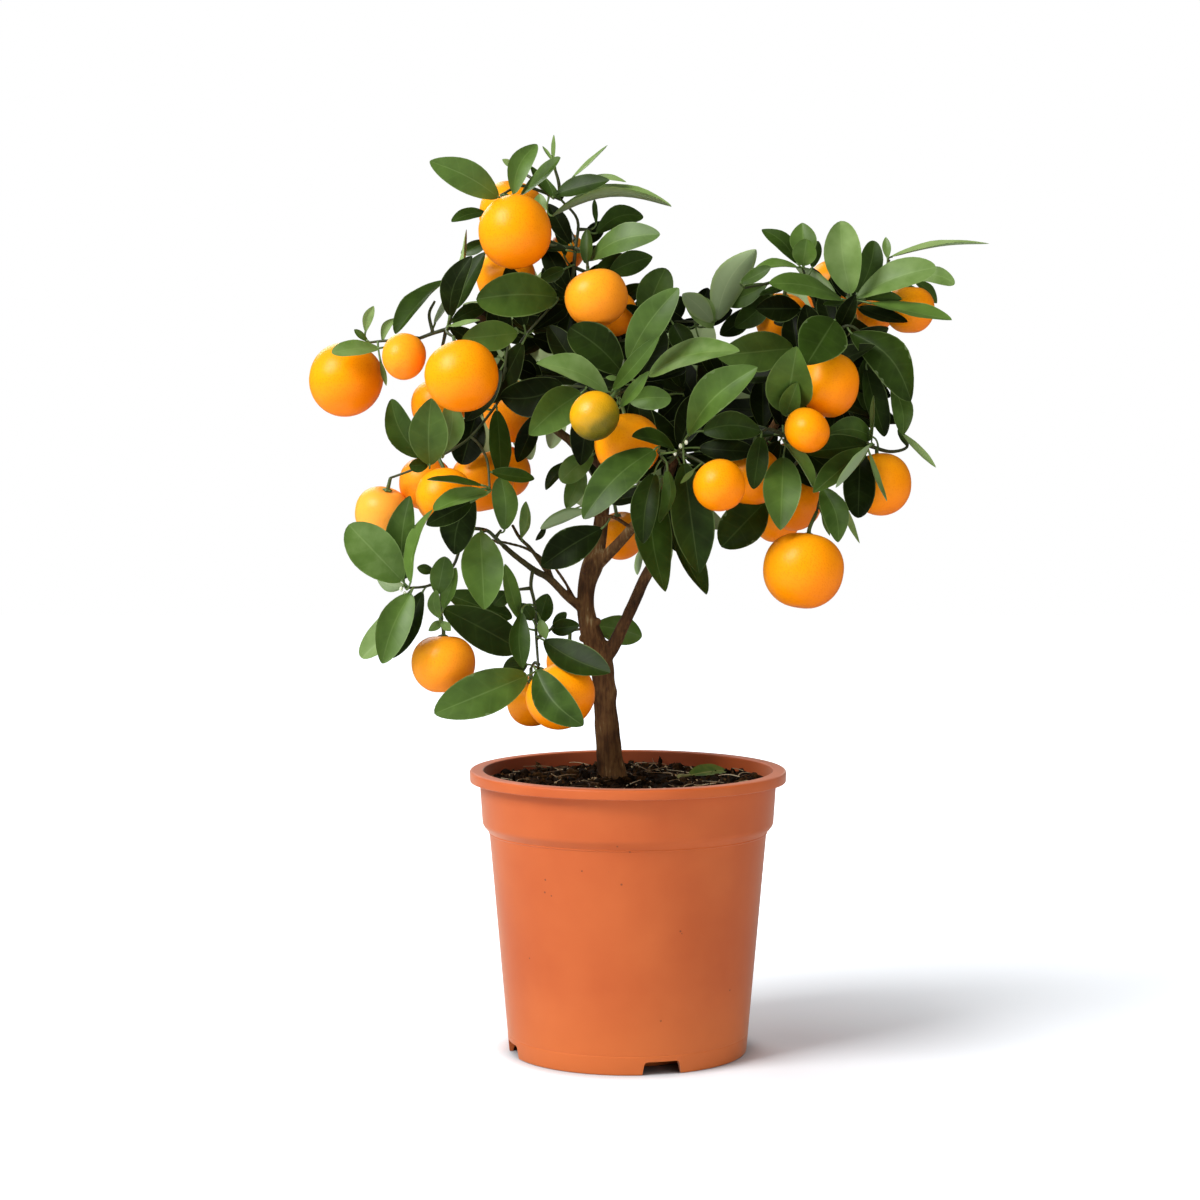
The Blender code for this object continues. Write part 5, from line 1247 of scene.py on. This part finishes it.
# The same peel only half coloured, olive green to yellow. The yellow lies towards the upper left,
# where the key light falls, so the split is partly the peel's own colour and partly painted light.
where = add(tree, "TexCoord")
tone = add(tree, "Attribute", attribute_name="tone")
ends = add(tree, "SeparateColor", {0: tone.outputs["Color"]})
clouds = add(tree, "TexNoise", {"Vector": where.outputs["Object"], "Scale": 120.0, "Detail": 2.0})
lit_side_tone = add(tree, "Math", {0: clouds, 1: 0.35, 2: ends.outputs["Blue"]}, operation="MULTIPLY_ADD")
yellow = add(tree, "ValToRGB", {0: lit_side_tone}, stops=(
    (0.30, 0x4E4A08), (0.52, 0x806E06), (0.74, 0xC69400), (1.0, 0xE6A400)))
scarred = add(tree, "Mix", {
    0: ends.outputs["Red"], 6: yellow, 7: linear(0x4A3210)}, data_type="RGBA")
relief = add(tree, "Bump", {
    "Height": gland_pits(tree, where), "Strength": 0.25, "Distance": 0.0004})
plug(tree, shader, {
    "Base Color": scarred.outputs[2], "Normal": relief, "Roughness": 0.4, "IOR": 1.45})
print("peel materials: 2")


# %% Where the twigs run
def nearest_on(chains, point):
    """The point of the chains of points that lies nearest: on each stretch a + (b - a) t, with t
    from the dot product, kept between 0 and 1."""
    starts = np.vstack([chain[:-1] for chain in chains])
    steps = np.vstack([chain[1:] - chain[:-1] for chain in chains])
    t = np.clip(((point - starts) * steps).sum(1) / (steps**2).sum(1), 0, 1)
    feet = starts + steps * t[:, None]
    return feet[np.argmin(((feet - point) ** 2).sum(1))]


chains_of = {name: [seen(twig) for twig in twigs] for name, (twigs, _) in SHOOTS.items()}
for name, (limbs_here, _) in BRANCHES.items():
    chains_of[name] = [seen([place[:3] for place in places]) for places in limbs_here]
print("bearers:", len(chains_of))


# %% Fruit surfaces
def square_to(axis):
    """Two directions square to an axis and to each other."""
    first = unit(np.cross(axis, [0.0, 1.0, 0.0] if abs(axis[1]) < 0.9 else [1.0, 0.0, 0.0]))
    return first, np.cross(axis, first)


def fruit_grid(centre, radius, length, axis, number, rings=28, sides=36):
    """At angle a from the stem end: radius sin(a) across and length cos(a) along, each to the
    power 0.92, which squares the shoulders, and 4% wider towards the stalk. A stalk dimple of
    1.5 mm exp(-(a / 0.28) squared) and a blossom dimple of 0.6 mm are taken off, and the skin
    swells by up to 2% in slow waves round the stalk."""
    a = np.linspace(0, pi, rings)[:, None]
    turn = 2 * pi * np.arange(sides) / sides
    dimple = 1.5 * np.exp(-((a / 0.28) ** 2)) + 0.6 * np.exp(-(((pi - a) / 0.2) ** 2))
    swell = 1 + (0.012 * np.cos(3 * turn + number) + 0.012 * np.cos(2 * turn + 2 * number)) * np.sin(a)
    first, second = square_to(axis)
    wide = radius * np.abs(np.sin(a)) ** 0.92 * (1 + 0.04 * np.cos(a)) * swell
    flat = wide[..., None] * (first * np.cos(turn)[:, None] + second * np.sin(turn)[:, None])
    high = length * np.abs(np.cos(a)) ** 0.92 * (1 + (swell - 1) * np.sin(a)) - dimple
    return centre + flat + (np.sign(np.cos(a)) * high)[..., None] * axis


SCARRED = {1, 4, 19, 31, 33}  # these show a large scar at the blossom end
UNRIPE = 33
# Painted light: how much paler each of these fruits is painted.
PAINTED_PALENESS = {5: 0.1, 12: 0.1, 13: 0.45, 14: 0.1, 35: 0.12}  # fruit number: how much
# The way towards the key light; the peel is painted yellower on that side: painted light.
KEY_LIGHT_WAY = unit(np.array([-0.55, -0.15, 0.75]))
SHOULDERS = 0.975  # takes back what the squared shoulders add to the width
fruit_ends = {}
for number, place, radius, length, bearer, stem in FRUITS:
    centre = seen(place)
    # A radius is given as it looks at depth 0, so a fruit nearer the viewpoint is made smaller.
    scale = SHOULDERS * (1 - place[2] / VIEWPOINT[1])
    radius, length = radius * scale, length * scale
    if stem:
        axis = unit(np.array(stem, float))
    else:
        axis = unit(nearest_on(chains_of[bearer], centre + [0, 0, length + 5]) - centre)
    grid = fruit_grid(centre, radius, length, axis, number)
    away = (grid - centre) @ axis / length
    if number in SCARRED:
        scar = np.clip((-away - 0.985) / 0.01, 0, 1)
    else:
        scar = np.clip((-away - 0.994) / 0.004, 0, 0.8)
    green = 0.25 * np.clip((away - 0.955) / 0.03, 0, 1)
    # How far a point faces the key light, 0 to 1, which paints the peel yellower: painted light.
    lit_side_tone = 0.5 + ((grid - centre) @ KEY_LIGHT_WAY) / (2 * radius)
    painted_paleness = np.full_like(away, PAINTED_PALENESS.get(number, 0.0))
    tones = np.stack([scar, green, lit_side_tone, painted_paleness], -1).reshape(-1, 4)
    finish, slot = (ripening_peel, "unripe_peel") if number == UNRIPE else (peel, "peel")
    piece(f"peel_{number:02d}", part(grid, tone=tones), finish, [f"fruit_{number:02d}"])
    fruit_ends[number] = (bearer, centre + axis * (length - 1.0), axis)
print("fruits made:", len(fruit_ends))

# %% [markdown]
# ## Leaves
#
# Calamondin leaves are small, stiff and oval, glossy dark green above and paler beneath, with a
# pale midrib, faint side veins and a fine light edge. Each is one closed sheet: a grid along and
# across, folded a little along the midrib, arched, and rippled at its edges, so that each catches
# the light its own way. A leaf moves in depth until it clears its neighbours, as in the solids.

# %% Leaf and twig materials
citrus_leaf, tree, shader = new_material("waxy_citrus_leaf")
# Citrus leaf: a waxy skin, so a satin gloss above and matt beneath; young leaves are yellower.
where = add(tree, "TexCoord")
place_on = add(tree, "SeparateXYZ", {0: where.outputs["UV"]})
tone = add(tree, "Attribute", attribute_name="tone")
kind = add(tree, "SeparateColor", {0: tone.outputs["Color"]})
mottle = add(tree, "TexNoise", {"Vector": where.outputs["Object"], "Scale": 90.0, "Detail": 3.0})
# The tone's first channel sets how pale the leaf is: partly its own green, partly painted light and
# shade.
shade_here = add(tree, "Math", {
    0: mottle, 1: 0.3, 2: kind.outputs["Red"]}, operation="MULTIPLY_ADD")
upper = add(tree, "ValToRGB", {0: shade_here}, stops=(
    (0.05, 0x040701), (0.22, 0x151F04), (0.45, 0x2E440D), (0.7, 0x55722A), (0.95, 0x8BA262)))
# How far out from the midrib, from 0 there to 1 at the edge.
offset = add(tree, "Math", {0: place_on.outputs["X"], 1: -0.5}, operation="ADD")
half_way = add(tree, "Math", {0: offset}, operation="ABSOLUTE")
aside = add(tree, "Math", {0: half_way, 1: 2.0}, operation="MULTIPLY")
# Side veins leave the midrib every 4 mm or so, slanting towards the tip: 10 pairs a leaf.
slanted = add(tree, "Math", {0: aside, 1: -1.5}, operation="MULTIPLY")
along_vein = add(tree, "Math", {
    0: place_on.outputs["Y"], 1: 10.0, 2: slanted}, operation="MULTIPLY_ADD")
wave = add(tree, "Math", {0: along_vein, 1: 1.0}, operation="PINGPONG")
vein = add(tree, "MapRange", {
    0: wave, 1: 0.0, 2: 0.22, 3: 1.0, 4: 0.0}, interpolation_type="SMOOTHSTEP")
midrib = add(tree, "MapRange", {
    0: aside, 1: 0.01, 2: 0.055, 3: 1.0, 4: 0.0}, interpolation_type="SMOOTHSTEP")
margin = add(tree, "MapRange", {
    0: aside, 1: 0.92, 2: 1.0, 3: 0.0, 4: 1.0}, interpolation_type="SMOOTHSTEP")
faint = add(tree, "Math", {0: vein, 1: 0.035}, operation="MULTIPLY")
strong = add(tree, "Math", {0: midrib, 1: 0.2}, operation="MULTIPLY")
edged = add(tree, "Math", {0: margin, 1: 0.3}, operation="MULTIPLY")
ribs = add(tree, "Math", {0: faint, 1: strong}, operation="MAXIMUM")
# On dark leaves the ribs hardly show.
clear = add(tree, "MapRange", {0: kind.outputs["Red"], 1: 0.1, 2: 0.6, 3: 0.3, 4: 1.0})
ribs = add(tree, "Math", {0: ribs, 1: clear}, operation="MULTIPLY")
lines = add(tree, "Math", {0: ribs, 1: edged}, operation="MAXIMUM")
veined = add(tree, "Mix", {0: lines, 6: upper, 7: linear(0x93AB66)}, data_type="RGBA")
under = add(tree, "Mix", {0: lines, 6: linear(0x84966A), 7: linear(0xB2BE94)}, data_type="RGBA")
two_sided = add(tree, "Mix", {
    0: kind.outputs["Green"], 6: veined.outputs[2], 7: under.outputs[2]}, data_type="RGBA")
# The underside is duller, and so is a dark leaf.
gloss = add(tree, "MapRange", {0: kind.outputs["Green"], 1: 0.0, 2: 1.0, 3: 0.46, 4: 0.64})
shine = add(tree, "MapRange", {0: kind.outputs["Red"], 1: 0.1, 2: 0.45, 3: 0.1, 4: 0.38})
raised = add(tree, "Math", {0: lines, 1: 1.0, 2: mottle}, operation="MULTIPLY_ADD")
relief = add(tree, "Bump", {"Height": raised, "Strength": 0.22, "Distance": 0.0005})
plug(tree, shader, {
    "Base Color": two_sided.outputs[2], "Normal": relief, "Roughness": gloss, "IOR": 1.45,
    "Specular IOR Level": shine})

green_twig, tree, shader = new_material("young_citrus_twig")
# This year's twigs: green skin, satin; browner with age, where the tone is high.
where = add(tree, "TexCoord")
tone = add(tree, "Attribute", attribute_name="tone")
age = add(tree, "SeparateColor", {0: tone.outputs["Color"]})
flecks = add(tree, "TexNoise", {"Vector": where.outputs["Object"], "Scale": 400.0, "Detail": 3.0})
older = add(tree, "Math", {0: flecks, 1: 0.3, 2: age.outputs["Red"]}, operation="MULTIPLY_ADD")
skin_colour = add(tree, "ValToRGB", {0: older}, stops=(
    (0.15, 0x6F8C46), (0.5, 0x4A5C30), (0.9, 0x34331F)))
plug(tree, shader, {"Base Color": skin_colour, "Roughness": 0.5})
print("leaf nodes:", len(citrus_leaf.node_tree.nodes))

# %% A leaf's pose
YOUNG_WIDTH, GROWN_WIDTH = 0.24, 0.42  # of the length
FOLD = radians(14)
ARCH = 0.06  # how high the middle stands, of the length
LeafPose = namedtuple("LeafPose", "base along across up length half aside tone kind")


def leaf_pose(leaf, shift=(0, 0)):
    """Where a leaf lies: its base, its directions along, across and out of the upper side, its
    length and half width, and how far its middle swings aside. A leaf that looks narrow for its
    length is turned about its midrib, its edge towards the viewer."""
    base_x, base_z, tip_x, tip_z, seen_width, base_depth, tip_depth, kind, bow, tone = leaf
    base = seen([base_x, base_z, base_depth + shift[0]])
    tip = seen([tip_x, tip_z, tip_depth + shift[1]])
    length = np.linalg.norm(tip - base)
    along = (tip - base) / length
    width = max(seen_width, (YOUNG_WIDTH if kind == "y" else GROWN_WIDTH) * length)
    turn = acos(min(1.0, seen_width / width))
    across = unit(np.cross(along, unit(VIEWPOINT - (base + tip) / 2)))
    out = np.cross(across, along)
    ways = [out * np.cos(a) + across * np.sin(a) for a in (turn, -turn)]
    ups = sorted(ways, key=lambda way: way[2])
    up = -ups[0] if kind == "u" else ups[1]
    sideways = unit(np.cross(unit(VIEWPOINT - base), along))
    # The arch and the fold also show, the more the leaf stands on edge, so they count into the bow.
    aside = sideways * (bow - (ARCH * length + 0.06 * width) * (up @ sideways))
    return LeafPose(base, along, np.cross(along, up), up, length, width / 2, aside, tone, kind)


def leaf_grid(pose, s, top, under, thick, vary=0.0):
    """A closed leaf: at s along and t across, base + s length along + sin(pi s) (aside + arch
    length up) + t half w(s) across, lifted by the fold, the curl and the ripple. w(s) is the sine
    of pi times s to a power near 1, itself to a power near 0.65, which makes the ends blunt, and
    the underside lies a thickness below. The blade twists about its midrib by up to 13 degrees,
    and vary, from 0 to 1, sets its fold, curl, ripple and twist."""
    base, along, across, up, length, half, aside, _, kind = pose
    blunt = {"y": 0.75, "r": 0.48, "u": 0.7}.get(kind, 0.56 + 0.18 * (vary * 3 % 1))
    lean = 1.25 if kind == "r" else 0.92 + 0.2 * (vary * 5 % 1)
    s = s[:, None]
    fold = FOLD * (0.5 + vary * 11 % 1)
    twist = (0.35 * np.sin(2 * pi * 5 * vary) * (s - 0.35))[..., None]
    cos, sin = np.cos(twist), np.sin(twist)
    across, up = across * cos + up * sin, up * cos - across * sin
    t = np.concatenate([top, under])
    below = np.concatenate([np.zeros(len(top)), np.ones(len(under))])
    arched = (aside + pose.up * ARCH * length) * np.sin(pi * s)[..., None]
    middle = base + along * (length * s[..., None]) + arched
    wide = half * np.clip(np.sin(pi * s**lean), 0, 1) ** blunt + 0.5 * (1 - s) ** 8
    crease = np.sqrt(t**2 + 0.02) - 0.1414  # the fold's V, rounded at the midrib
    curl = 0.10 + 0.28 * np.cos(2 * pi * vary)
    ripple = 0.035 * wide * np.sin(2 * pi * (2.2 * s + vary)) * np.sign(t) * t**2
    lift = wide * (crease * np.sin(fold) + curl * t**2 * 0.5) + ripple * np.sin(pi * s)
    lift = lift - below * thick * np.minimum(1, 3 * np.sin(pi * s) + 0.3) * (1 - t**4)
    flat = wide * np.cos(fold) * (1 - 0.12 * abs(curl) * t**2) * t
    return middle + across * flat[..., None] + up * lift[..., None]


print("fallen leaf:", round(leaf_pose(FALLEN_LEAF).length, 1), "mm long")


# %% Leaves at the back of the crown
GOLDEN_ANGLE = pi * (3 - 5**0.5)


def outward_rosette(x, z, depth, count, length):
    """Leaves round a twig's end at the back, each turned on from the last by the golden angle and
    leaning 48, 70 or 92 degrees from the way out."""
    twig_end = seen([x, z, depth])
    axis = unit(np.array([0.25 * x / 100, 1, 0.35]))
    side = unit(np.cross(axis, [0, 0, 1]))
    leaves = []
    for i in range(count):
        turn = GOLDEN_ANGLE * i + 0.01 * x
        lean = radians(48 + 22 * (i % 3))
        spoke = side * np.cos(turn) + np.cross(side, axis) * np.sin(turn)
        way = axis * np.cos(lean) + spoke * np.sin(lean)
        reach = np.array([[5.0], [5 + length * (0.85 + 0.1 * (i % 3))]])
        points = twig_end + way * reach
        flat = VIEWPOINT + (points - VIEWPOINT) / (1 - points[:, 1:2] / VIEWPOINT[1])
        wide = length * 0.46 * (0.55 + 0.4 * abs(np.sin(turn)))
        leaves.append((
            flat[0, 0], flat[0, 2], flat[1, 0], flat[1, 2], wide, points[0, 1], points[1, 1],
            "m", 0, 2 + i % 3,
        ))
    return leaves


def back_rosette(x, z, depth, count, length):
    """The same leaves as kind b, whose upper side is to the back."""
    return [leaf[:7] + ("b",) + leaf[8:] for leaf in outward_rosette(x, z, depth, count, length)]


leaves_of = {name: list(leaves) for name, (_, leaves) in BRANCHES.items()}
for name, (_, leaves) in SHOOTS.items():
    backs = [leaf for spot in BACK_ROSETTES.get(name, []) for leaf in back_rosette(*spot)]
    leaves_of[name] = leaves + backs
for name, spots in INNER_ROSETTES.items():  # in the shade of the crown, so these are dark
    for spot in spots:
        for i, leaf in enumerate(outward_rosette(*spot)):
            # Their tone is set near the deepest green: painted shade.
            leaves_of[name].append(leaf[:9] + (0.4 * (i % 3),))
print("leaves:", sum(len(leaves) for leaves in leaves_of.values()))

# %% Each leaf gives way in depth
COARSE = np.array([0.0, 0.3, 0.7, 1.0])
BASE_SHIFTS = (0, -4, 4, -9, 9, -15, 15)
TIP_SHIFTS = (0, -6, 6, -12, 12, -19, 19, -28, 28)
LEAF_SHIFTS = sorted(  # the smallest first; one of the base counts twice
    ((base, tip) for base in BASE_SHIFTS for tip in TIP_SHIFTS),
    key=lambda shift: (2 * abs(shift[0]) + abs(shift[1]), shift),
)


def tree_of(made):
    """A search tree of a part's quads, which tells what overlaps it."""
    return BVHTree.FromPolygons(made[0].tolist(), made[1].tolist())


def stalk_path(stem, pose):
    """A leaf stalk's path: a quadratic curve from the twig to the leaf's base, arriving along it."""
    base, along = pose.base, pose.along
    bend = base - along * min(6.0, 0.5 * np.linalg.norm(base - stem))
    t = np.linspace(0, 1, 6)[:, None]
    return stem * (1 - t) ** 2 + 2 * bend * t * (1 - t) + (base + along * 0.6) * t**2


def rough_leaf(stem, pose):
    """A leaf of few points, 2 mm thick, and its stalk as a straight rod 2 mm thick."""
    blade = part(leaf_grid(pose, COARSE, np.array([-1.0, 0, 1]), np.array([0.0]), 2.0))
    return blade, part(tube(np.array([stem, pose.base]), 1.0, 3))


# Each obstacle: whose it is, its shape, and whether it is a leaf blade.
obstacles = [("wood", tree_of(limb(places, 1, 8)), False) for places in limbs]
for number, place, radius, length, _, _ in FRUITS:
    ball = fruit_grid(seen(place), radius + 0.7, length + 0.7, fruit_ends[number][2], number, 8, 10)
    obstacles.append(("peel", tree_of(part(ball)), False))
for name in SHOOTS:
    obstacles += [(name, tree_of(part(tube(chain, 1.3, 5))), False) for chain in chains_of[name]]


def clashes(name, blade, stalk):
    """How badly a leaf cuts other things: 3 for each thing that isn't its shoot's, 1 for each
    other leaf of its own."""
    hits = 0
    for owner, other, is_blade in obstacles:
        if owner != name:
            hits += 3 * bool(blade.overlap(other) or stalk.overlap(other))
        elif is_blade:
            hits += bool(blade.overlap(other))
    return hits


poses_of = {name: [] for name in leaves_of}
moved = 0
for name, leaves in leaves_of.items():
    for leaf in leaves:
        first = leaf_pose(leaf)
        stem = nearest_on(chains_of[name], first.base - first.along * 6)
        best = None
        for shift in LEAF_SHIFTS:
            pose = leaf_pose(leaf, shift)
            blade, stalk = (tree_of(made) for made in rough_leaf(stem, pose))
            hits = clashes(name, blade, stalk)
            if best is None or hits < best[0]:
                best = (hits, shift, pose, blade)
            if not hits:
                break
        moved += best[1] != (0, 0)
        obstacles.append((name, best[3], True))
        poses_of[name].append((stem, best[2]))
print("leaves moved in depth:", moved)

# %% Leaf surfaces, shoot by shoot
TOP = np.array([-1.0, -0.85, -0.6, -0.32, -0.1, 0.0, 0.1, 0.32, 0.6, 0.85, 1.0])
UNDER = np.array([0.7, 0.35, 0.0, -0.35, -0.7])
STATIONS = 0.5 - 0.5 * np.cos(pi * np.linspace(0, 1, 17))
LEAF_THICKNESS = 0.35


def leaf_part(pose, vary):
    """A leaf's surface with its map, u across and v along, and its tone: how pale it is, and 1
    on its underside."""
    grid = leaf_grid(pose, STATIONS, TOP, UNDER, LEAF_THICKNESS, vary)
    across = np.concatenate([TOP, UNDER])
    uv = np.stack(np.broadcast_arrays(0.5 + across / 2, STATIONS[:, None]), -1)
    tones = np.zeros((*grid.shape[:2], 4))
    tones[..., 0] = 0.092 * pose.tone - 0.01 + 0.06 * (vary - 0.5)
    lower = slice(0, len(TOP)) if pose.kind == "b" else slice(len(TOP), None)
    tones[:, lower, 1] = 1
    return part(grid, uv, tones.reshape(-1, 4))


counter = 0
GOLDEN_STEP = 0.618  # of a whole: steps of this size spread evenly, however many there are
for name, poses in poses_of.items():
    if not poses:
        continue
    parts = []
    for stem, pose in poses:
        counter += 1
        parts.append(leaf_part(pose, counter * GOLDEN_STEP % 1))
    nodes = [] if name in BRANCHES else [f"shoot_{name}"]
    piece(f"leaves_{name}", joined(parts), citrus_leaf, nodes, 75)
print("leaf pieces:", sum(bool(poses) for poses in poses_of.values()))

# %% Twigs, leaf stalks, fruit stalks and calyxes
# How old each looks, from 0 for green to 1 for brown.
TWIG_AGE, LEAF_STALK_AGE, FRUIT_STALK_AGE, CALYX_AGE = 0.6, 0.2, 0.3, 0.25
TWIG_RADIUS, FINE_TWIG_RADIUS, TWIG_END_RADIUS = 1.1, 0.8, 0.65
STALK_RADII = [0.7, 0.55, 0.5, 0.5, 0.55, 0.65]


def calyx(end, axis):
    """The green star that holds the fruit: a thin cap whose radius swings by about a fifth, five
    times round."""
    first, second = square_to(axis)
    turn = 2 * pi * np.arange(20) / 20
    star = 1 + 0.22 * np.cos(5 * turn)
    radius = np.array([0, 1.3, 2.5, 2.4, 1.2, 0])[:, None] * star
    height = np.array([1.1, 1.0, 0.35, 0.05, 0.1, 0.1])[:, None] + 0 * radius
    ring = first * np.cos(turn)[:, None] + second * np.sin(turn)[:, None]
    return shaded_part(end + ring * radius[..., None] + axis * height[..., None], CALYX_AGE)


for name, chains in chains_of.items():
    parts = []
    if name in SHOOTS:
        thickest = FINE_TWIG_RADIUS if name == "left_mid" else TWIG_RADIUS
        for chain in chains:
            path = smooth_path(chain, 5)
            radii = np.linspace(thickest, TWIG_END_RADIUS, len(path))
            parts.append(shaded_part(tube(path, radii, 8), TWIG_AGE))
    for stem, pose in poses_of[name]:
        parts.append(shaded_part(tube(stalk_path(stem, pose), STALK_RADII, 6), LEAF_STALK_AGE))
    for number, (bearer, end, axis) in fruit_ends.items():
        if bearer != name:
            continue
        root = nearest_on(chains, end + axis * 4)
        path = smooth_path([end, end + axis * min(4.0, 0.5 * np.linalg.norm(root - end)), root], 5)
        radii = np.linspace(1.15, 0.95, len(path))
        parts.append(shaded_part(tube(path, radii, 8), FRUIT_STALK_AGE))
        parts.append(calyx(end, axis))
    if parts:
        piece(f"twigs_{name}", joined(parts), green_twig)

# %% The leaf that fell
fallen_pose = leaf_pose(FALLEN_LEAF)
dry_leaf, tree, shader = new_material("fallen_citrus_leaf")
# A shed leaf: green going olive and brown in patches, matt, its midrib still pale.
where = add(tree, "TexCoord")
place_on = add(tree, "SeparateXYZ", {0: where.outputs["UV"]})
patches = add(tree, "TexNoise", {"Vector": where.outputs["Object"], "Scale": 120.0, "Detail": 3.0})
turning = add(tree, "ValToRGB", {0: patches}, stops=(
    (0.35, 0x3F5A18), (0.55, 0x5F6E28), (0.7, 0x6E5C2E)))
offset = add(tree, "Math", {0: place_on.outputs["X"], 1: -0.5}, operation="ADD")
aside = add(tree, "Math", {0: offset}, operation="ABSOLUTE")
midrib = add(tree, "MapRange", {0: aside, 1: 0.01, 2: 0.04, 3: 0.7, 4: 0.0})
ribbed = add(tree, "Mix", {0: midrib, 6: turning, 7: linear(0xA09A62)}, data_type="RGBA")
plug(tree, shader, {"Base Color": ribbed.outputs[2], "Roughness": 0.55})
# The stalk's end lies on the soil. Its map is the midrib's all over, so it is as pale as that.
stalk_route = stalk_path(seen(FALLEN_LEAF_STEM) + [0, 0, 1.8], fallen_pose)
fallen_stalk = tube(stalk_route, [1.2, 1.4, 1.3, 1.0, 0.8, 0.7], 8)
stalk_map = np.full((*fallen_stalk.shape[:2], 2), 0.5)
fallen = [leaf_part(fallen_pose, 0.1), part(fallen_stalk, stalk_map)]
piece("fallen_leaf_blade", joined(fallen), dry_leaf, ["fallen_leaf"], 75)

# %% Flower buds
bud_white, tree, shader = new_material("citrus_bud")
# Unopened citrus buds: waxy white with a breath of green.
where = add(tree, "TexCoord")
petals = add(tree, "TexNoise", {"Vector": where.outputs["Object"], "Scale": 700.0, "Detail": 1.0})
white = add(tree, "ValToRGB", {0: petals}, stops=((0.35, 0xC9D2A0), (0.6, 0xECEEDD)))
plug(tree, shader, {"Base Color": white, "Roughness": 0.45})
BUDS = [
    (-121.5, 248.5, -50), (-119.5, 246, -49), (119, 402.5, -14), (25, 321, -50),
    (28, 325, -52), (31, 327, -54), (-30, 381, -34), (2, 319, -60),
]


def bud(x, z, depth):
    """A flower bud: an egg 2 mm wide and 2.6 mm tall."""
    polar = np.linspace(0, pi, 8)
    egg = turned(np.column_stack([1.0 * np.sin(polar), -1.3 * np.cos(polar)]), 8)
    return part(egg + seen([x, z, depth]))


piece("flower_buds", joined([bud(*spot) for spot in BUDS]), bud_white)
print("buds:", len(BUDS))
